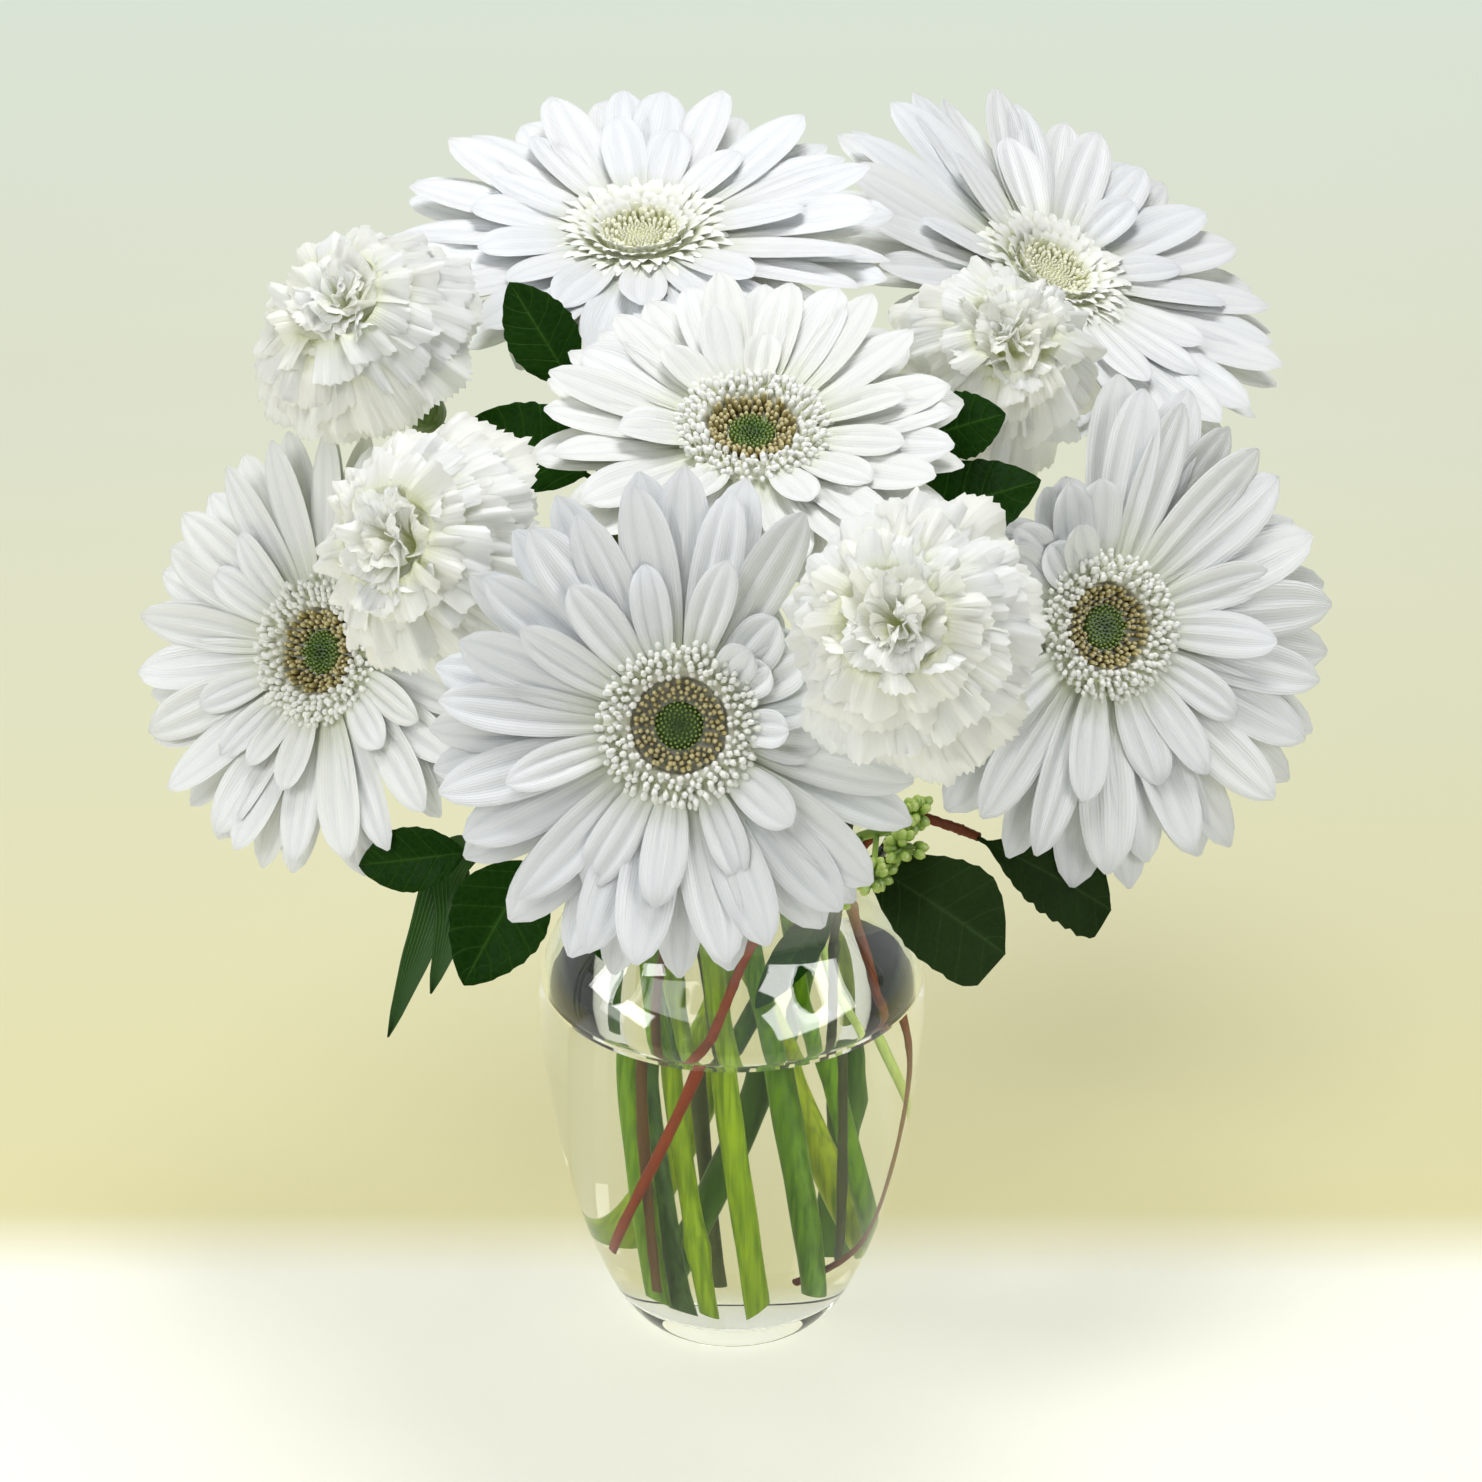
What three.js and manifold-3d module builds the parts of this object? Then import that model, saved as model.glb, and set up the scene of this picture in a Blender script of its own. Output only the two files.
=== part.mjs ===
// A clear glass vase of white gerberas and carnations with green sprigs, standing in water.
// Millimetres, +Z up, the origin at the centre of the vase's foot. Each flower, leaf and stem is
// placed by where it is in the bouquet, and every stem runs through the vase's neck to its foot.

import * as THREE from "three";
import { mergeVertices } from "three/addons/utils/BufferGeometryUtils.js";
import Module from "manifold-3d";

const wasm = await Module();
wasm.setup();

// ---------- driving dimensions ----------

const GAP = 0.3; // between pieces that touch

const VASE_SIDES = 24;
const VASE_WALL = 2.2;
const VASE_FLOOR = 8; // the thick glass foot
const FLOOR_RADIUS = 20; // the flat of the inside floor
const VASE_OUTSIDE = [
  [22.5, 0], [26, 2.2], [30.6, 8], [35.8, 19], [42, 39], [47, 64], [49.5, 90],
  [48.6, 103], [45.4, 111], [38.4, 121], [36, 129], [38.6, 138.5],
];
const LIP = [[41.6, 143], [41.6, 146], [39.6, 146]];
const WATER_LEVEL = 100;
const HOLE_CLEARANCE = 0.55; // round a stem in the water

const NECK_HEIGHT = 129; // where the stems pass through the vase's neck
const STEM_SIDES = 6;
const GERBERA_STEM_RADIUS = 3;
const CARNATION_STEM_RADIUS = 2.4;
const TWIG_RADIUS = 1.35;

// Each gerbera: the centre of its disc, the way it faces, the ray tips' distance from the centre,
// how far the tips stand forward, the seed of its unevenness, and where its stem crosses the neck
// and ends.
const GERBERAS = [
  {
    at: [-24, 112, 258], faces: [-0.03, -0.21, 0.98], reach: 67, cup: 9, seed: 0,
    neck: [-6, 15], foot: [24, 6, 16],
  },
  {
    at: [87.5, 156, 230], faces: [0.41, -0.28, 0.87], reach: 69, cup: 9, seed: 1,
    neck: [12, 23], foot: [-16, 20, 18],
  },
  {
    at: [5, 11, 246], faces: [0.02, -0.34, 0.94], reach: 53, cup: 9, seed: 2,
    neck: [2, 3], foot: [18, -14, 14],
  },
  {
    at: [-104, 28, 178], faces: [-0.55, -0.72, 0.43], reach: 58, cup: 9, seed: 3,
    neck: [-22, 3], foot: [-16, -16, 14],
  },
  {
    at: [-12, -69, 207], faces: [0.04, -0.91, 0.42], reach: 59, cup: 7, seed: 4,
    neck: [-6, -24], foot: [6, -21, 13],
    pressed: [44, -64, 228], // its rays that way end short, behind the fourth carnation
  },
  {
    at: [94, 24, 187], faces: [0.4, -0.8, 0.45], reach: 65, cup: 8, seed: 55,
    neck: [21, 4], foot: [-13, 2, 11],
    pressed: [70, 32, 237], // its rays that way end short, behind the third carnation
  },
];
const RAYS_IN_A_ROW = 18;
const RAY_WIDTH = 10.5;
const RAY_KEEL = 1.3; // how thick a ray is along its middle
const RAY_ROOT = 13.5; // where the rays leave the receptacle
const PRESSED_SHARE = 0.6; // of the reach, where a neighbour holds the rays back
const DISC_RADIUS = 18; // the white florets round the eye
const SOCKET_RADIUS = 10.9; // the hollow that the brown florets sit in
const EYE_RADIUS = 5.1;
const CUP_DEPTH = 19; // from the disc to where the stem begins

// Each carnation: the centre of its head, the way it faces and its radius.
const CARNATIONS = [
  { at: [-92, 49, 256], faces: [-0.35, -0.52, 0.78], reach: 33, neck: [-20, 19], foot: [-10, -14, 11] },
  { at: [-71, -30, 234], faces: [-0.55, -0.68, 0.48], reach: 33, neck: [-17, -13], foot: [-5, -22, 13] },
  { at: [67, 58, 244.5], faces: [0.2, -0.62, 0.76], reach: 29.5, neck: [25, 14], foot: [12, 22, 16] },
  { at: [41, -89, 241], faces: [-0.3, -0.78, 0.55], reach: 33, neck: [14, -20], foot: [27, 2, 22] },
];
const CALYX_TOP = -15;
const CALYX_BOTTOM = -42;
const CALYX_RADIUS = 7;

// Each sprig: its twig from the tip down to the neck, the stretch that stands in the water,
// and its leaves, which leave the twig at a share of its dry length counted from the tip.
const SPRIGS = [
  {
    name: "red_twig",
    dry: [[30, -44, 160], [24, -40, 156], [15, -33, 145], [6, -30, 129]],
    wet: [[-3, -33, 106], [-28, -17, 29]],
    leaves: [
      { on: 0.02, tip: [66, -59, 140], faces: [0.1, -0.8, 0.6], width: 27, shape: "blunt", bend: 3 },
    ],
  },
  {
    name: "brown_twig",
    dry: [[-64, -16, 146], [-50, -23, 150], [-31, -31, 154], [-20, -29, 144], [-16, -25, 129]],
    wet: [[-19, -20, 102], [-17, -20, 20]],
    leaves: [
      { on: 0.02, tip: [-94, -4, 134], faces: [-0.2, -0.9, 0.4], width: 16.5, shape: "ovate", bend: 3 },
      { on: 0.3, tip: [-66, -40, 120], faces: [-0.3, -0.85, 0.3], width: 25, shape: "ovate", bend: 3 },
      { on: 0.52, tip: [-29, -46, 129], faces: [-0.1, -0.7, 0.7], width: 17, shape: "ovate", bend: 3 },
    ],
  },
  {
    name: "dark_twig",
    dry: [[46, 25, 241], [43, 18, 226], [34, 9, 205], [33, -6, 178], [29, -13, 150], [25.5, -16.5, 129]],
    wet: [[25, -25, 103], [24, -17, 28]],
    leaves: [
      { on: 0.02, tip: [67.5, 25, 245], faces: [0.1, -0.8, 0.55], width: 17, shape: "ovate", bend: 2 },
      { on: 0.2, tip: [76.5, 21, 229], faces: [0.1, -0.8, 0.55], width: 20, shape: "ovate", bend: 3 },
      { on: 0.96, tip: [6, -31, 108], faces: [0, -1, 0.1], width: 11, shape: "ovate", bend: 1 },
    ],
  },
  {
    name: "curved_twig",
    dry: [[62, -3, 141.5], [54, -6, 146.5], [44, -9, 150.5], [34, -9.5, 144], [29, -8, 129]],
    wet: [[35, -11, 106], [40, -9, 78], [33, -10, 36], [28, -10, 28], [12, -6, 19]],
    leaves: [
      { on: 0.02, tip: [96, -6, 122], faces: [0.1, -0.8, 0.6], width: 21, shape: "blunt", bend: 3 },
    ],
  },
  {
    name: "green_twig",
    dry: [[-38, 48, 243], [-34, 36, 230], [-28, 22, 210], [-18, 11, 170], [-10, 6, 129]],
    wet: [[-8, 8, 104], [-2, 14, 12]],
    leaves: [
      { on: 0.02, tip: [-56, 62, 265], faces: [0, -0.9, 0.45], width: 18, shape: "ovate", bend: 2 },
      { on: 0.2, tip: [-65, 43, 236], faces: [0, -0.85, 0.5], width: 22, shape: "ovate", bend: 3 },
      { on: 0.36, tip: [-43, 22, 213], faces: [0, -0.85, 0.5], width: 14, shape: "ovate", bend: 2 },
    ],
  },
];
const LEAF_THICKNESS = 0.8;
const PETIOLE_WIDTH = 1.4;

// Leaf outlines: [share of the length, left and right half as a share of the leaf's width].
const LEAF_SHAPES = {
  ovate: [[0.14, 0, 0], [0.34, 0.4, 0.4], [0.58, 0.5, 0.5], [0.82, 0.28, 0.28], [1, 0, 0]],
  blunt: [[0.1, 0, 0], [0.3, 0.42, 0.4], [0.6, 0.5, 0.5], [0.86, 0.36, 0.52], [0.98, 0.06, 0.4]],
};

const STRAP_LEAF = {
  hangsFrom: 0.1, // a share of the brown twig's dry length
  width: 11,
  tips: [[-87, -22, 94], [-76, -19, 105]],
  top: [-70, -5, 136],
};

const FILLER = {
  dry: [[44, -44, 170], [39, -38, 163], [30, -24, 152], [20, -8, 129]],
  wet: [[25, -8, 104], [38, 4, 52]],
  radius: 1.3,
  budRadius: 2.4,
  sprays: [[44, -47, 172], [41, -51, 165], [34, -54, 159], [24, -53, 153]],
  budsInASpray: 3,
};

const SEED = 7;

// ---------- shape helpers ----------

const vector = (p) => new THREE.Vector3(...p);

// The same run of random numbers every time, each from -1 to 1.
function randomFrom(seed) {
  let state = seed * 7919;
  return () => {
    state = (state * 16807 + 11) % 2147483647;
    return (2 * state) / 2147483647 - 1;
  };
}

function geometryOf(positions, index) {
  const geometry = new THREE.BufferGeometry();
  geometry.setAttribute("position", new THREE.Float32BufferAttribute(positions, 3));
  geometry.setIndex(index);
  return geometry;
}

// A geometry as a solid that can be joined and cut. Triangles with no area are dropped.
function solidOf(geometry) {
  const bare = geometry.clone();
  bare.deleteAttribute("normal");
  bare.deleteAttribute("uv");
  const merged = mergeVertices(bare, 1e-4);
  const corners = merged.index.array;
  const triangles = [];
  for (let i = 0; i < corners.length; i += 3) {
    const [a, b, c] = [corners[i], corners[i + 1], corners[i + 2]];
    if (a !== b && b !== c && c !== a) triangles.push(a, b, c);
  }
  return new wasm.Manifold(
    new wasm.Mesh({
      numProp: 3,
      vertProperties: new Float32Array(merged.attributes.position.array),
      triVerts: new Uint32Array(triangles),
    }),
  );
}

function geometryFrom(solid) {
  const mesh = solid.getMesh();
  return geometryOf(Array.from(mesh.vertProperties), Array.from(mesh.triVerts));
}

const joined = (geometries) => geometries.map(solidOf).reduce((whole, next) => whole.add(next));

// A closed body through rings of points, anticlockwise seen from its far end. A ring of one
// point is a tip.
function loft(rings) {
  const index = [];
  let from = 0;
  for (let i = 0; i + 1 < rings.length; i++) {
    const [here, next] = [rings[i].length, rings[i + 1].length];
    const to = from + here;
    for (let j = 0; j < Math.max(here, next); j++) {
      const k = (j + 1) % Math.max(here, next);
      if (here > 1) index.push(from + j, from + k, next > 1 ? to + k : to);
      if (next > 1) index.push(here > 1 ? from + j : from, to + k, to + j);
    }
    from = to;
  }
  for (let j = 1; j + 1 < rings[0].length; j++) index.push(0, j + 1, j);
  for (let j = 1; j + 1 < rings.at(-1).length; j++) index.push(from, from + j, from + j + 1);
  return geometryOf(rings.flat().flatMap((p) => p.toArray()), index);
}

// A sheet of rows of points with a thickness, both faces split into triangles alike.
function thickened(rows, up, thickness) {
  const starts = [];
  let total = 0;
  for (const row of rows) {
    starts.push(total);
    total += row.length;
  }
  const face = [];
  for (let i = 0; i + 1 < rows.length; i++) {
    const [a, b] = [starts[i], starts[i + 1]];
    for (let j = 0; j + 1 < Math.max(rows[i].length, rows[i + 1].length); j++) {
      if (rows[i].length > 1) face.push([a + j, a + j + 1, rows[i + 1].length > 1 ? b + j : b]);
      if (rows[i + 1].length > 1) face.push([rows[i].length > 1 ? a + j + 1 : a, b + j + 1, b + j]);
    }
  }
  const half = up.clone().normalize().multiplyScalar(thickness / 2);
  const points = rows.flat();
  const positions = [
    ...points.flatMap((p) => p.clone().add(half).toArray()),
    ...points.flatMap((p) => p.clone().sub(half).toArray()),
  ];
  const index = [];
  const edges = new Map();
  for (const [a, b, c] of face) {
    index.push(a, b, c, a + total, c + total, b + total);
    for (const [p, q] of [[a, b], [b, c], [c, a]]) edges.set(`${p} ${q}`, [p, q]);
  }
  for (const [p, q] of edges.values()) {
    if (!edges.has(`${q} ${p}`)) index.push(p + total, q + total, q, p + total, q, p);
  }
  return geometryOf(positions, index);
}

// A round bar through given points, its section turned from a reference direction.
function bar(points, radius, sides = STEM_SIDES, reference = new THREE.Vector3(1, 0.35, 0)) {
  const step = (i) => points[i + 1].clone().sub(points[i]).normalize();
  const rings = points.map((point, i) => {
    const along = new THREE.Vector3();
    if (i > 0) along.add(step(i - 1));
    if (i + 1 < points.length) along.add(step(i));
    along.normalize();
    const across = reference.clone().addScaledVector(along, -reference.dot(along)).normalize();
    const aside = along.clone().cross(across);
    const thick = Array.isArray(radius) ? radius[i] : radius;
    return Array.from({ length: sides }, (_, j) => {
      const turn = (2 * Math.PI * j) / sides;
      return point.clone()
        .addScaledVector(across, thick * Math.cos(turn))
        .addScaledVector(aside, thick * Math.sin(turn));
    });
  });
  return loft(rings);
}

// An outline of [radius, height] turned about Z. relief moves a point of the outline, by its
// number and the side's, by [radius, height].
function turned(outline, sides, relief) {
  const geometry = new THREE.LatheGeometry(outline.map(([r, z]) => new THREE.Vector2(r, z)), sides);
  geometry.rotateX(Math.PI / 2);
  if (!relief) return geometry;
  const place = geometry.attributes.position;
  for (let i = 0; i < place.count; i++) {
    const [point, side] = [i % outline.length, Math.floor(i / outline.length) % sides];
    const [dr, dz] = relief(point, side);
    const radius = Math.hypot(place.getX(i), place.getY(i));
    const grow = radius > 1e-6 ? (radius + dr) / radius : 1;
    place.setXYZ(i, place.getX(i) * grow, place.getY(i) * grow, place.getZ(i) + dz);
  }
  return geometry;
}

// An outline moved sideways by a distance, towards the axis where it is positive.
function inset(outline, distance) {
  return outline.map(([r, z], i) => {
    const [r0, z0] = outline[Math.max(0, i - 1)];
    const [r1, z1] = outline[Math.min(outline.length - 1, i + 1)];
    const length = Math.hypot(r1 - r0, z1 - z0);
    return [r - (distance * (z1 - z0)) / length, z + (distance * (r1 - r0)) / length];
  });
}

// ---------- the object ----------

const bouquet = new THREE.Group();

const MATERIALS = {
  glass: { color: 0xe8efe6, roughness: 0.05, metalness: 0, transparent: true, opacity: 0.35 },
  water: { color: 0xe6ebd8, roughness: 0.05, metalness: 0, transparent: true, opacity: 0.4 },
  whitePetal: { color: 0xf4f5f7, roughness: 0.6, metalness: 0 },
  creamPetal: { color: 0xf3f5ea, roughness: 0.65, metalness: 0 },
  brownFloret: { color: 0x9a8a4a, roughness: 0.75, metalness: 0 },
  greenEye: { color: 0x6a8f4c, roughness: 0.7, metalness: 0 },
  stem: { color: 0x76a34c, roughness: 0.6, metalness: 0 },
  calyx: { color: 0x6f9a63, roughness: 0.6, metalness: 0 },
  leaf: { color: 0x1f4a1e, roughness: 0.45, metalness: 0 },
  strap: { color: 0x3f7040, roughness: 0.5, metalness: 0 },
  twig: { color: 0x7a3a22, roughness: 0.7, metalness: 0 },
  bud: { color: 0x7fb24a, roughness: 0.6, metalness: 0 },
};
for (const key of Object.keys(MATERIALS)) {
  MATERIALS[key] = new THREE.MeshStandardMaterial(MATERIALS[key]);
}

function addMesh(parent, name, solid, material) {
  const mesh = new THREE.Mesh(geometryFrom(solid), material);
  mesh.name = name;
  parent.add(mesh);
}

// The vase's inside outline, from the flat floor up to the lip.
const inside = [[FLOOR_RADIUS, VASE_FLOOR]].concat(
  inset(VASE_OUTSIDE, VASE_WALL).filter(([, z]) => z > VASE_FLOOR + 1),
);

function makeVase() {
  const outline = [[0, 0], ...VASE_OUTSIDE, ...LIP, ...inside.toReversed(), [0, VASE_FLOOR]];
  return solidOf(turned(outline, VASE_SIDES));
}

// The part of a stem's route that is in the water, with a little more at both ends.
function wetRoute(route) {
  const top = WATER_LEVEL + 3;
  const first = route.findIndex((p) => p.z < top);
  const [above, below] = [route[first - 1], route[first]];
  const start = above.clone().lerp(below, (above.z - top) / (above.z - below.z));
  const points = [start, ...route.slice(first)];
  const along = points.at(-1).clone().sub(points.at(-2)).normalize();
  points[points.length - 1] = points.at(-1).clone().addScaledVector(along, HOLE_CLEARANCE);
  return points;
}

function makeWater(routes) {
  const wall = inset(inside, GAP).filter(([, z]) => z < WATER_LEVEL);
  const rim = inside.findIndex(([, z]) => z > WATER_LEVEL);
  const [[r0, z0], [r1, z1]] = [inside[rim - 1], inside[rim]];
  const atLevel = r0 + ((r1 - r0) * (WATER_LEVEL - z0)) / (z1 - z0) - GAP;
  const bottom = VASE_FLOOR + GAP;
  const outline = [[0, bottom], [wall[0][0], bottom], ...wall.slice(1), [atLevel, WATER_LEVEL], [0, WATER_LEVEL]];
  let water = solidOf(turned(outline, VASE_SIDES));
  for (const { route, radius } of routes) {
    water = water.subtract(solidOf(bar(wetRoute(route), radius + HOLE_CLEARANCE, 6)));
  }
  return water;
}

// A group at a bloom's centre, its +Z the way the bloom faces.
function bloomGroup({ at, faces }) {
  const group = new THREE.Group();
  group.position.set(...at);
  group.quaternion.setFromUnitVectors(new THREE.Vector3(0, 0, 1), vector(faces).normalize());
  bouquet.add(group);
  return group;
}

// A stem's route: a smooth bend from behind the bloom to the neck, then straight to its foot.
function stemRoute({ at, faces, neck, foot }, depth) {
  const back = vector(faces).normalize().negate();
  const start = vector(at).addScaledVector(back, depth);
  const middle = new THREE.Vector3(...neck, NECK_HEIGHT);
  const end = vector(foot);
  const down = end.clone().sub(middle).normalize();
  const pull = start.distanceTo(middle) * 0.4;
  const bend = new THREE.CubicBezierCurve3(
    start,
    start.clone().addScaledVector(back, pull),
    middle.clone().addScaledVector(down, -pull),
    middle,
  );
  return [...bend.getPoints(6), end];
}

// ---------- gerberas ----------

// One ray along +X from the origin: a shallow channel with a keel under it and a pointed tip.
function ray({ length, width, rise, droop, roll, stations }) {
  const heightAt = (s) => rise * s ** 1.4 - droop * s ** 4;
  const rings = stations.map(([s, breadth]) => {
    const half = (width * breadth) / 2;
    const turn = roll * s;
    const [x, z] = [s * length, heightAt(s)];
    return [
      new THREE.Vector3(x, half * Math.cos(turn), z + half * Math.sin(turn)),
      new THREE.Vector3(x, -half * Math.cos(turn), z - half * Math.sin(turn)),
      new THREE.Vector3(x, RAY_KEEL * Math.sin(turn), z - RAY_KEEL * Math.cos(turn)),
    ];
  });
  rings.push([new THREE.Vector3(length, 0, heightAt(1) - RAY_KEEL * 0.3)]);
  return loft(rings);
}

const INNER_RAY = [[0, 0.42], [0.5, 1], [0.91, 0.76]];
const OUTER_RAY = [[0, 0.42], [0.8, 1]];

// Whether a neighbouring bloom holds back the ray at an angle round the disc.
function isHeldBack({ at, faces, pressed }, angle) {
  if (!pressed) return false;
  const toLocal = new THREE.Quaternion()
    .setFromUnitVectors(new THREE.Vector3(0, 0, 1), vector(faces).normalize())
    .invert();
  const towards = vector(pressed).sub(vector(at)).applyQuaternion(toLocal);
  const off = Math.atan2(towards.y, towards.x) - angle;
  return Math.cos(off) > Math.cos(0.55);
}

function rayRow(bloom, random, { level, turn, shorter, rise, stations }) {
  const rays = [];
  for (let i = 0; i < RAYS_IN_A_ROW; i++) {
    const angle = ((i + turn + 0.14 * random()) / RAYS_IN_A_ROW) * 2 * Math.PI;
    const held = isHeldBack(bloom, angle) ? PRESSED_SHARE : 1;
    const blade = ray({
      length: (bloom.reach * held - RAY_ROOT) * shorter * (1 + 0.05 * random()),
      width: RAY_WIDTH * (1 + 0.06 * random()),
      rise: rise + 1.2 * random(),
      droop: 2.5 + 1.5 * random(),
      roll: 0.22 * random(),
      stations,
    });
    blade.translate(RAY_ROOT, 0, level);
    blade.rotateZ(angle);
    rays.push(blade);
  }
  return rays;
}

function makeRays(bloom, random) {
  const bumps = (point, side) => {
    if (point < 2 || point > 4) return [0, 0];
    const high = (side + point) % 2 === 0;
    return high ? [0.7, 1] : [-0.5, -0.5];
  };
  const receptacle = turned(
    [
      [0, -6.5], [12.5, -4.6], [DISC_RADIUS, 1.4],
      [14.6, 3.4], [11.9, 2.6], [SOCKET_RADIUS, -1.6], [0, -1.6],
    ],
    16,
    bumps,
  );
  return joined([
    receptacle,
    ...rayRow(bloom, random, {
      level: 0.8, turn: 0, shorter: 0.97, rise: bloom.cup, stations: INNER_RAY,
    }),
    ...rayRow(bloom, random, {
      level: -1.6, turn: 0.5, shorter: 1, rise: bloom.cup * 0.45, stations: OUTER_RAY,
    }),
  ]);
}

function makeFloretRing() {
  const [inner, outer] = [EYE_RADIUS + GAP + 0.1, SOCKET_RADIUS - GAP - 0.3];
  const outline = [[inner, -1.3], [outer, -1.3], [outer, 2.4], [8, 3.2], [inner, 1.4], [inner, -1.3]];
  const bumps = (point, side) => {
    if (point < 2 || point > 3) return [0, 0];
    return (side + point) % 2 === 0 ? [0, 0.6] : [0, -0.6];
  };
  return solidOf(turned(outline, 12, bumps));
}

function makeEye() {
  return solidOf(turned([[0, -1.3], [EYE_RADIUS, -1.3], [EYE_RADIUS, 0.3], [3.4, 1.1], [0, 0.1]], 12));
}

// The stem with the green cup of bracts under the flower, in the bouquet's frame.
function makeGerberaStem(bloom, route) {
  const teeth = (point, side) => (point === 3 && side % 2 === 0 ? [0.9, 0.8] : [0, 0]);
  const cup = turned(
    [[0, -CUP_DEPTH - 1], [GERBERA_STEM_RADIUS + 0.4, -CUP_DEPTH], [8.5, -12.5], [13.2, -6.2], [12, -5.2], [0, -6.9]],
    10,
    teeth,
  );
  const facing = new THREE.Quaternion().setFromUnitVectors(
    new THREE.Vector3(0, 0, 1),
    vector(bloom.faces).normalize(),
  );
  cup.applyQuaternion(facing).translate(...bloom.at);
  return joined([cup, bar(route, GERBERA_STEM_RADIUS)]);
}

// ---------- carnations ----------

const FRILL_SIDES = 30; // five petals in a tier, six points across each
const PETAL_POINTS = [-0.16, 0.02, -0.04, 0.03, -0.03, 0.02];

// The head as tiers of toothed, ruffled petals one above the other: for each tier the rim's
// radius as a share of the head's and its height, then the hollow between it and the next tier.
const FRILL_TIERS = [
  { rim: [1, -5], hollow: [0.8, 0] },
  { rim: [0.92, 5], hollow: [0.66, 6.5] },
  { rim: [0.74, 13], hollow: [0.48, 12] },
  { rim: [0.5, 18], hollow: [0.28, 14.5] },
  { rim: [0.24, 20.5], hollow: [0.09, 16] },
];

function makeFrills({ reach }, random) {
  const outline = [[0, CALYX_TOP + 0.4], [5, CALYX_TOP + 0.4], [reach * 0.55, -5]];
  for (const { rim, hollow } of FRILL_TIERS) {
    outline.push([rim[0] * reach, rim[1]], [hollow[0] * reach, hollow[1]]);
  }
  outline.push([0, 20]);
  const waves = outline.map(() => Array.from({ length: FRILL_SIDES }, () => random()));
  const relief = (point, side) => {
    const isRim = point > 2 && point % 2 === 1 && point < outline.length - 1;
    if (!isRim) return [0, 0];
    const notch = PETAL_POINTS[(side + point) % PETAL_POINTS.length];
    return [outline[point][0] * notch, 1.7 * waves[point][side]];
  };
  return solidOf(turned(outline, FRILL_SIDES, relief));
}

function makeCarnationStem(bloom, route) {
  const teeth = (point, side) => (point === 3 && side % 2 === 0 ? [0.8, 0] : [0, 0]);
  const calyx = turned(
    [
      [0, CALYX_BOTTOM - 1], [4, CALYX_BOTTOM], [CALYX_RADIUS - 0.8, CALYX_BOTTOM + 9],
      [CALYX_RADIUS, CALYX_TOP - 1], [CALYX_RADIUS - 1, CALYX_TOP], [0, CALYX_TOP],
    ],
    8,
    teeth,
  );
  const facing = new THREE.Quaternion().setFromUnitVectors(
    new THREE.Vector3(0, 0, 1),
    vector(bloom.faces).normalize(),
  );
  calyx.applyQuaternion(facing).translate(...bloom.at);
  return joined([calyx, bar(route, CARNATION_STEM_RADIUS)]);
}

// ---------- leaves, twigs and filler ----------

const dryCurve = (points) => new THREE.CatmullRomCurve3(points.map(vector));

function twigRoute({ dry, wet }) {
  return [...dryCurve(dry).getPoints(2 * (dry.length - 1)), ...wet.map(vector)];
}

// A leaf from its seat on a twig to its tip, arched along and folded along its midrib.
function makeLeaf({ seat, tip, faces, width, shape, bend }) {
  const along = tip.clone().sub(seat);
  const facing = vector(faces).addScaledVector(along, -vector(faces).dot(along) / along.lengthSq()).normalize();
  const side = facing.clone().cross(along).normalize();
  const at = (share, across, lift) => seat.clone()
    .addScaledVector(along, share)
    .addScaledVector(side, across)
    .addScaledVector(facing, bend * Math.sin(Math.PI * share) + lift);
  const narrow = PETIOLE_WIDTH / 2;
  const rows = [[at(0, narrow, 0), at(0, 0, 0), at(0, -narrow, 0)]];
  LEAF_SHAPES[shape].forEach(([share, left, right], i) => {
    if (share === 1) {
      rows.push([at(1, 0, 0)]);
      return;
    }
    const wave = i % 2 === 0 ? 0.5 : -0.5;
    const [l, r] = [Math.max(narrow, left * width), Math.max(narrow, right * width)];
    rows.push([at(share, l, 0.16 * l + wave), at(share, 0, 0), at(share, -r, 0.16 * r - wave)]);
  });
  return solidOf(thickened(rows, facing, LEAF_THICKNESS));
}

// Where a leaf leaves its twig: beside the bark, on the side of the leaf's tip.
function seatOn(sprig, share, tip) {
  const curve = dryCurve(sprig.dry);
  const point = curve.getPointAt(share);
  const along = curve.getTangentAt(share);
  const outward = vector(tip).sub(point);
  outward.addScaledVector(along, -outward.dot(along)).normalize();
  return point.addScaledVector(outward, TWIG_RADIUS + GAP + LEAF_THICKNESS / 2 + 0.15);
}

// Two long narrow blades that hang side by side from one root.
function makeStrapLeaf(sprig) {
  const root = seatOn(sprig, STRAP_LEAF.hangsFrom, STRAP_LEAF.top);
  const blades = STRAP_LEAF.tips.map((tip, n) => {
    const path = new THREE.CatmullRomCurve3([
      root,
      vector(STRAP_LEAF.top),
      vector(STRAP_LEAF.top).lerp(vector(tip), 0.5).add(new THREE.Vector3(n ? 2 : 0, n ? 1.5 : 3, 0)),
      vector(tip),
    ]);
    const facing = new THREE.Vector3(-0.3, -0.9, 0.3);
    const widths = [0.16, 0.9, 0.95, 0.6];
    const rows = widths.map((share, i) => {
      const point = path.getPointAt(i / widths.length);
      const across = facing.clone().cross(path.getTangentAt(i / widths.length)).normalize();
      const half = (share * STRAP_LEAF.width) / 2;
      return [
        point.clone().addScaledVector(across, half),
        point.clone().addScaledVector(facing, -1),
        point.clone().addScaledVector(across, -half),
      ];
    });
    rows.push([vector(tip)]);
    return thickened(rows, facing, LEAF_THICKNESS);
  });
  return joined(blades);
}

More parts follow.
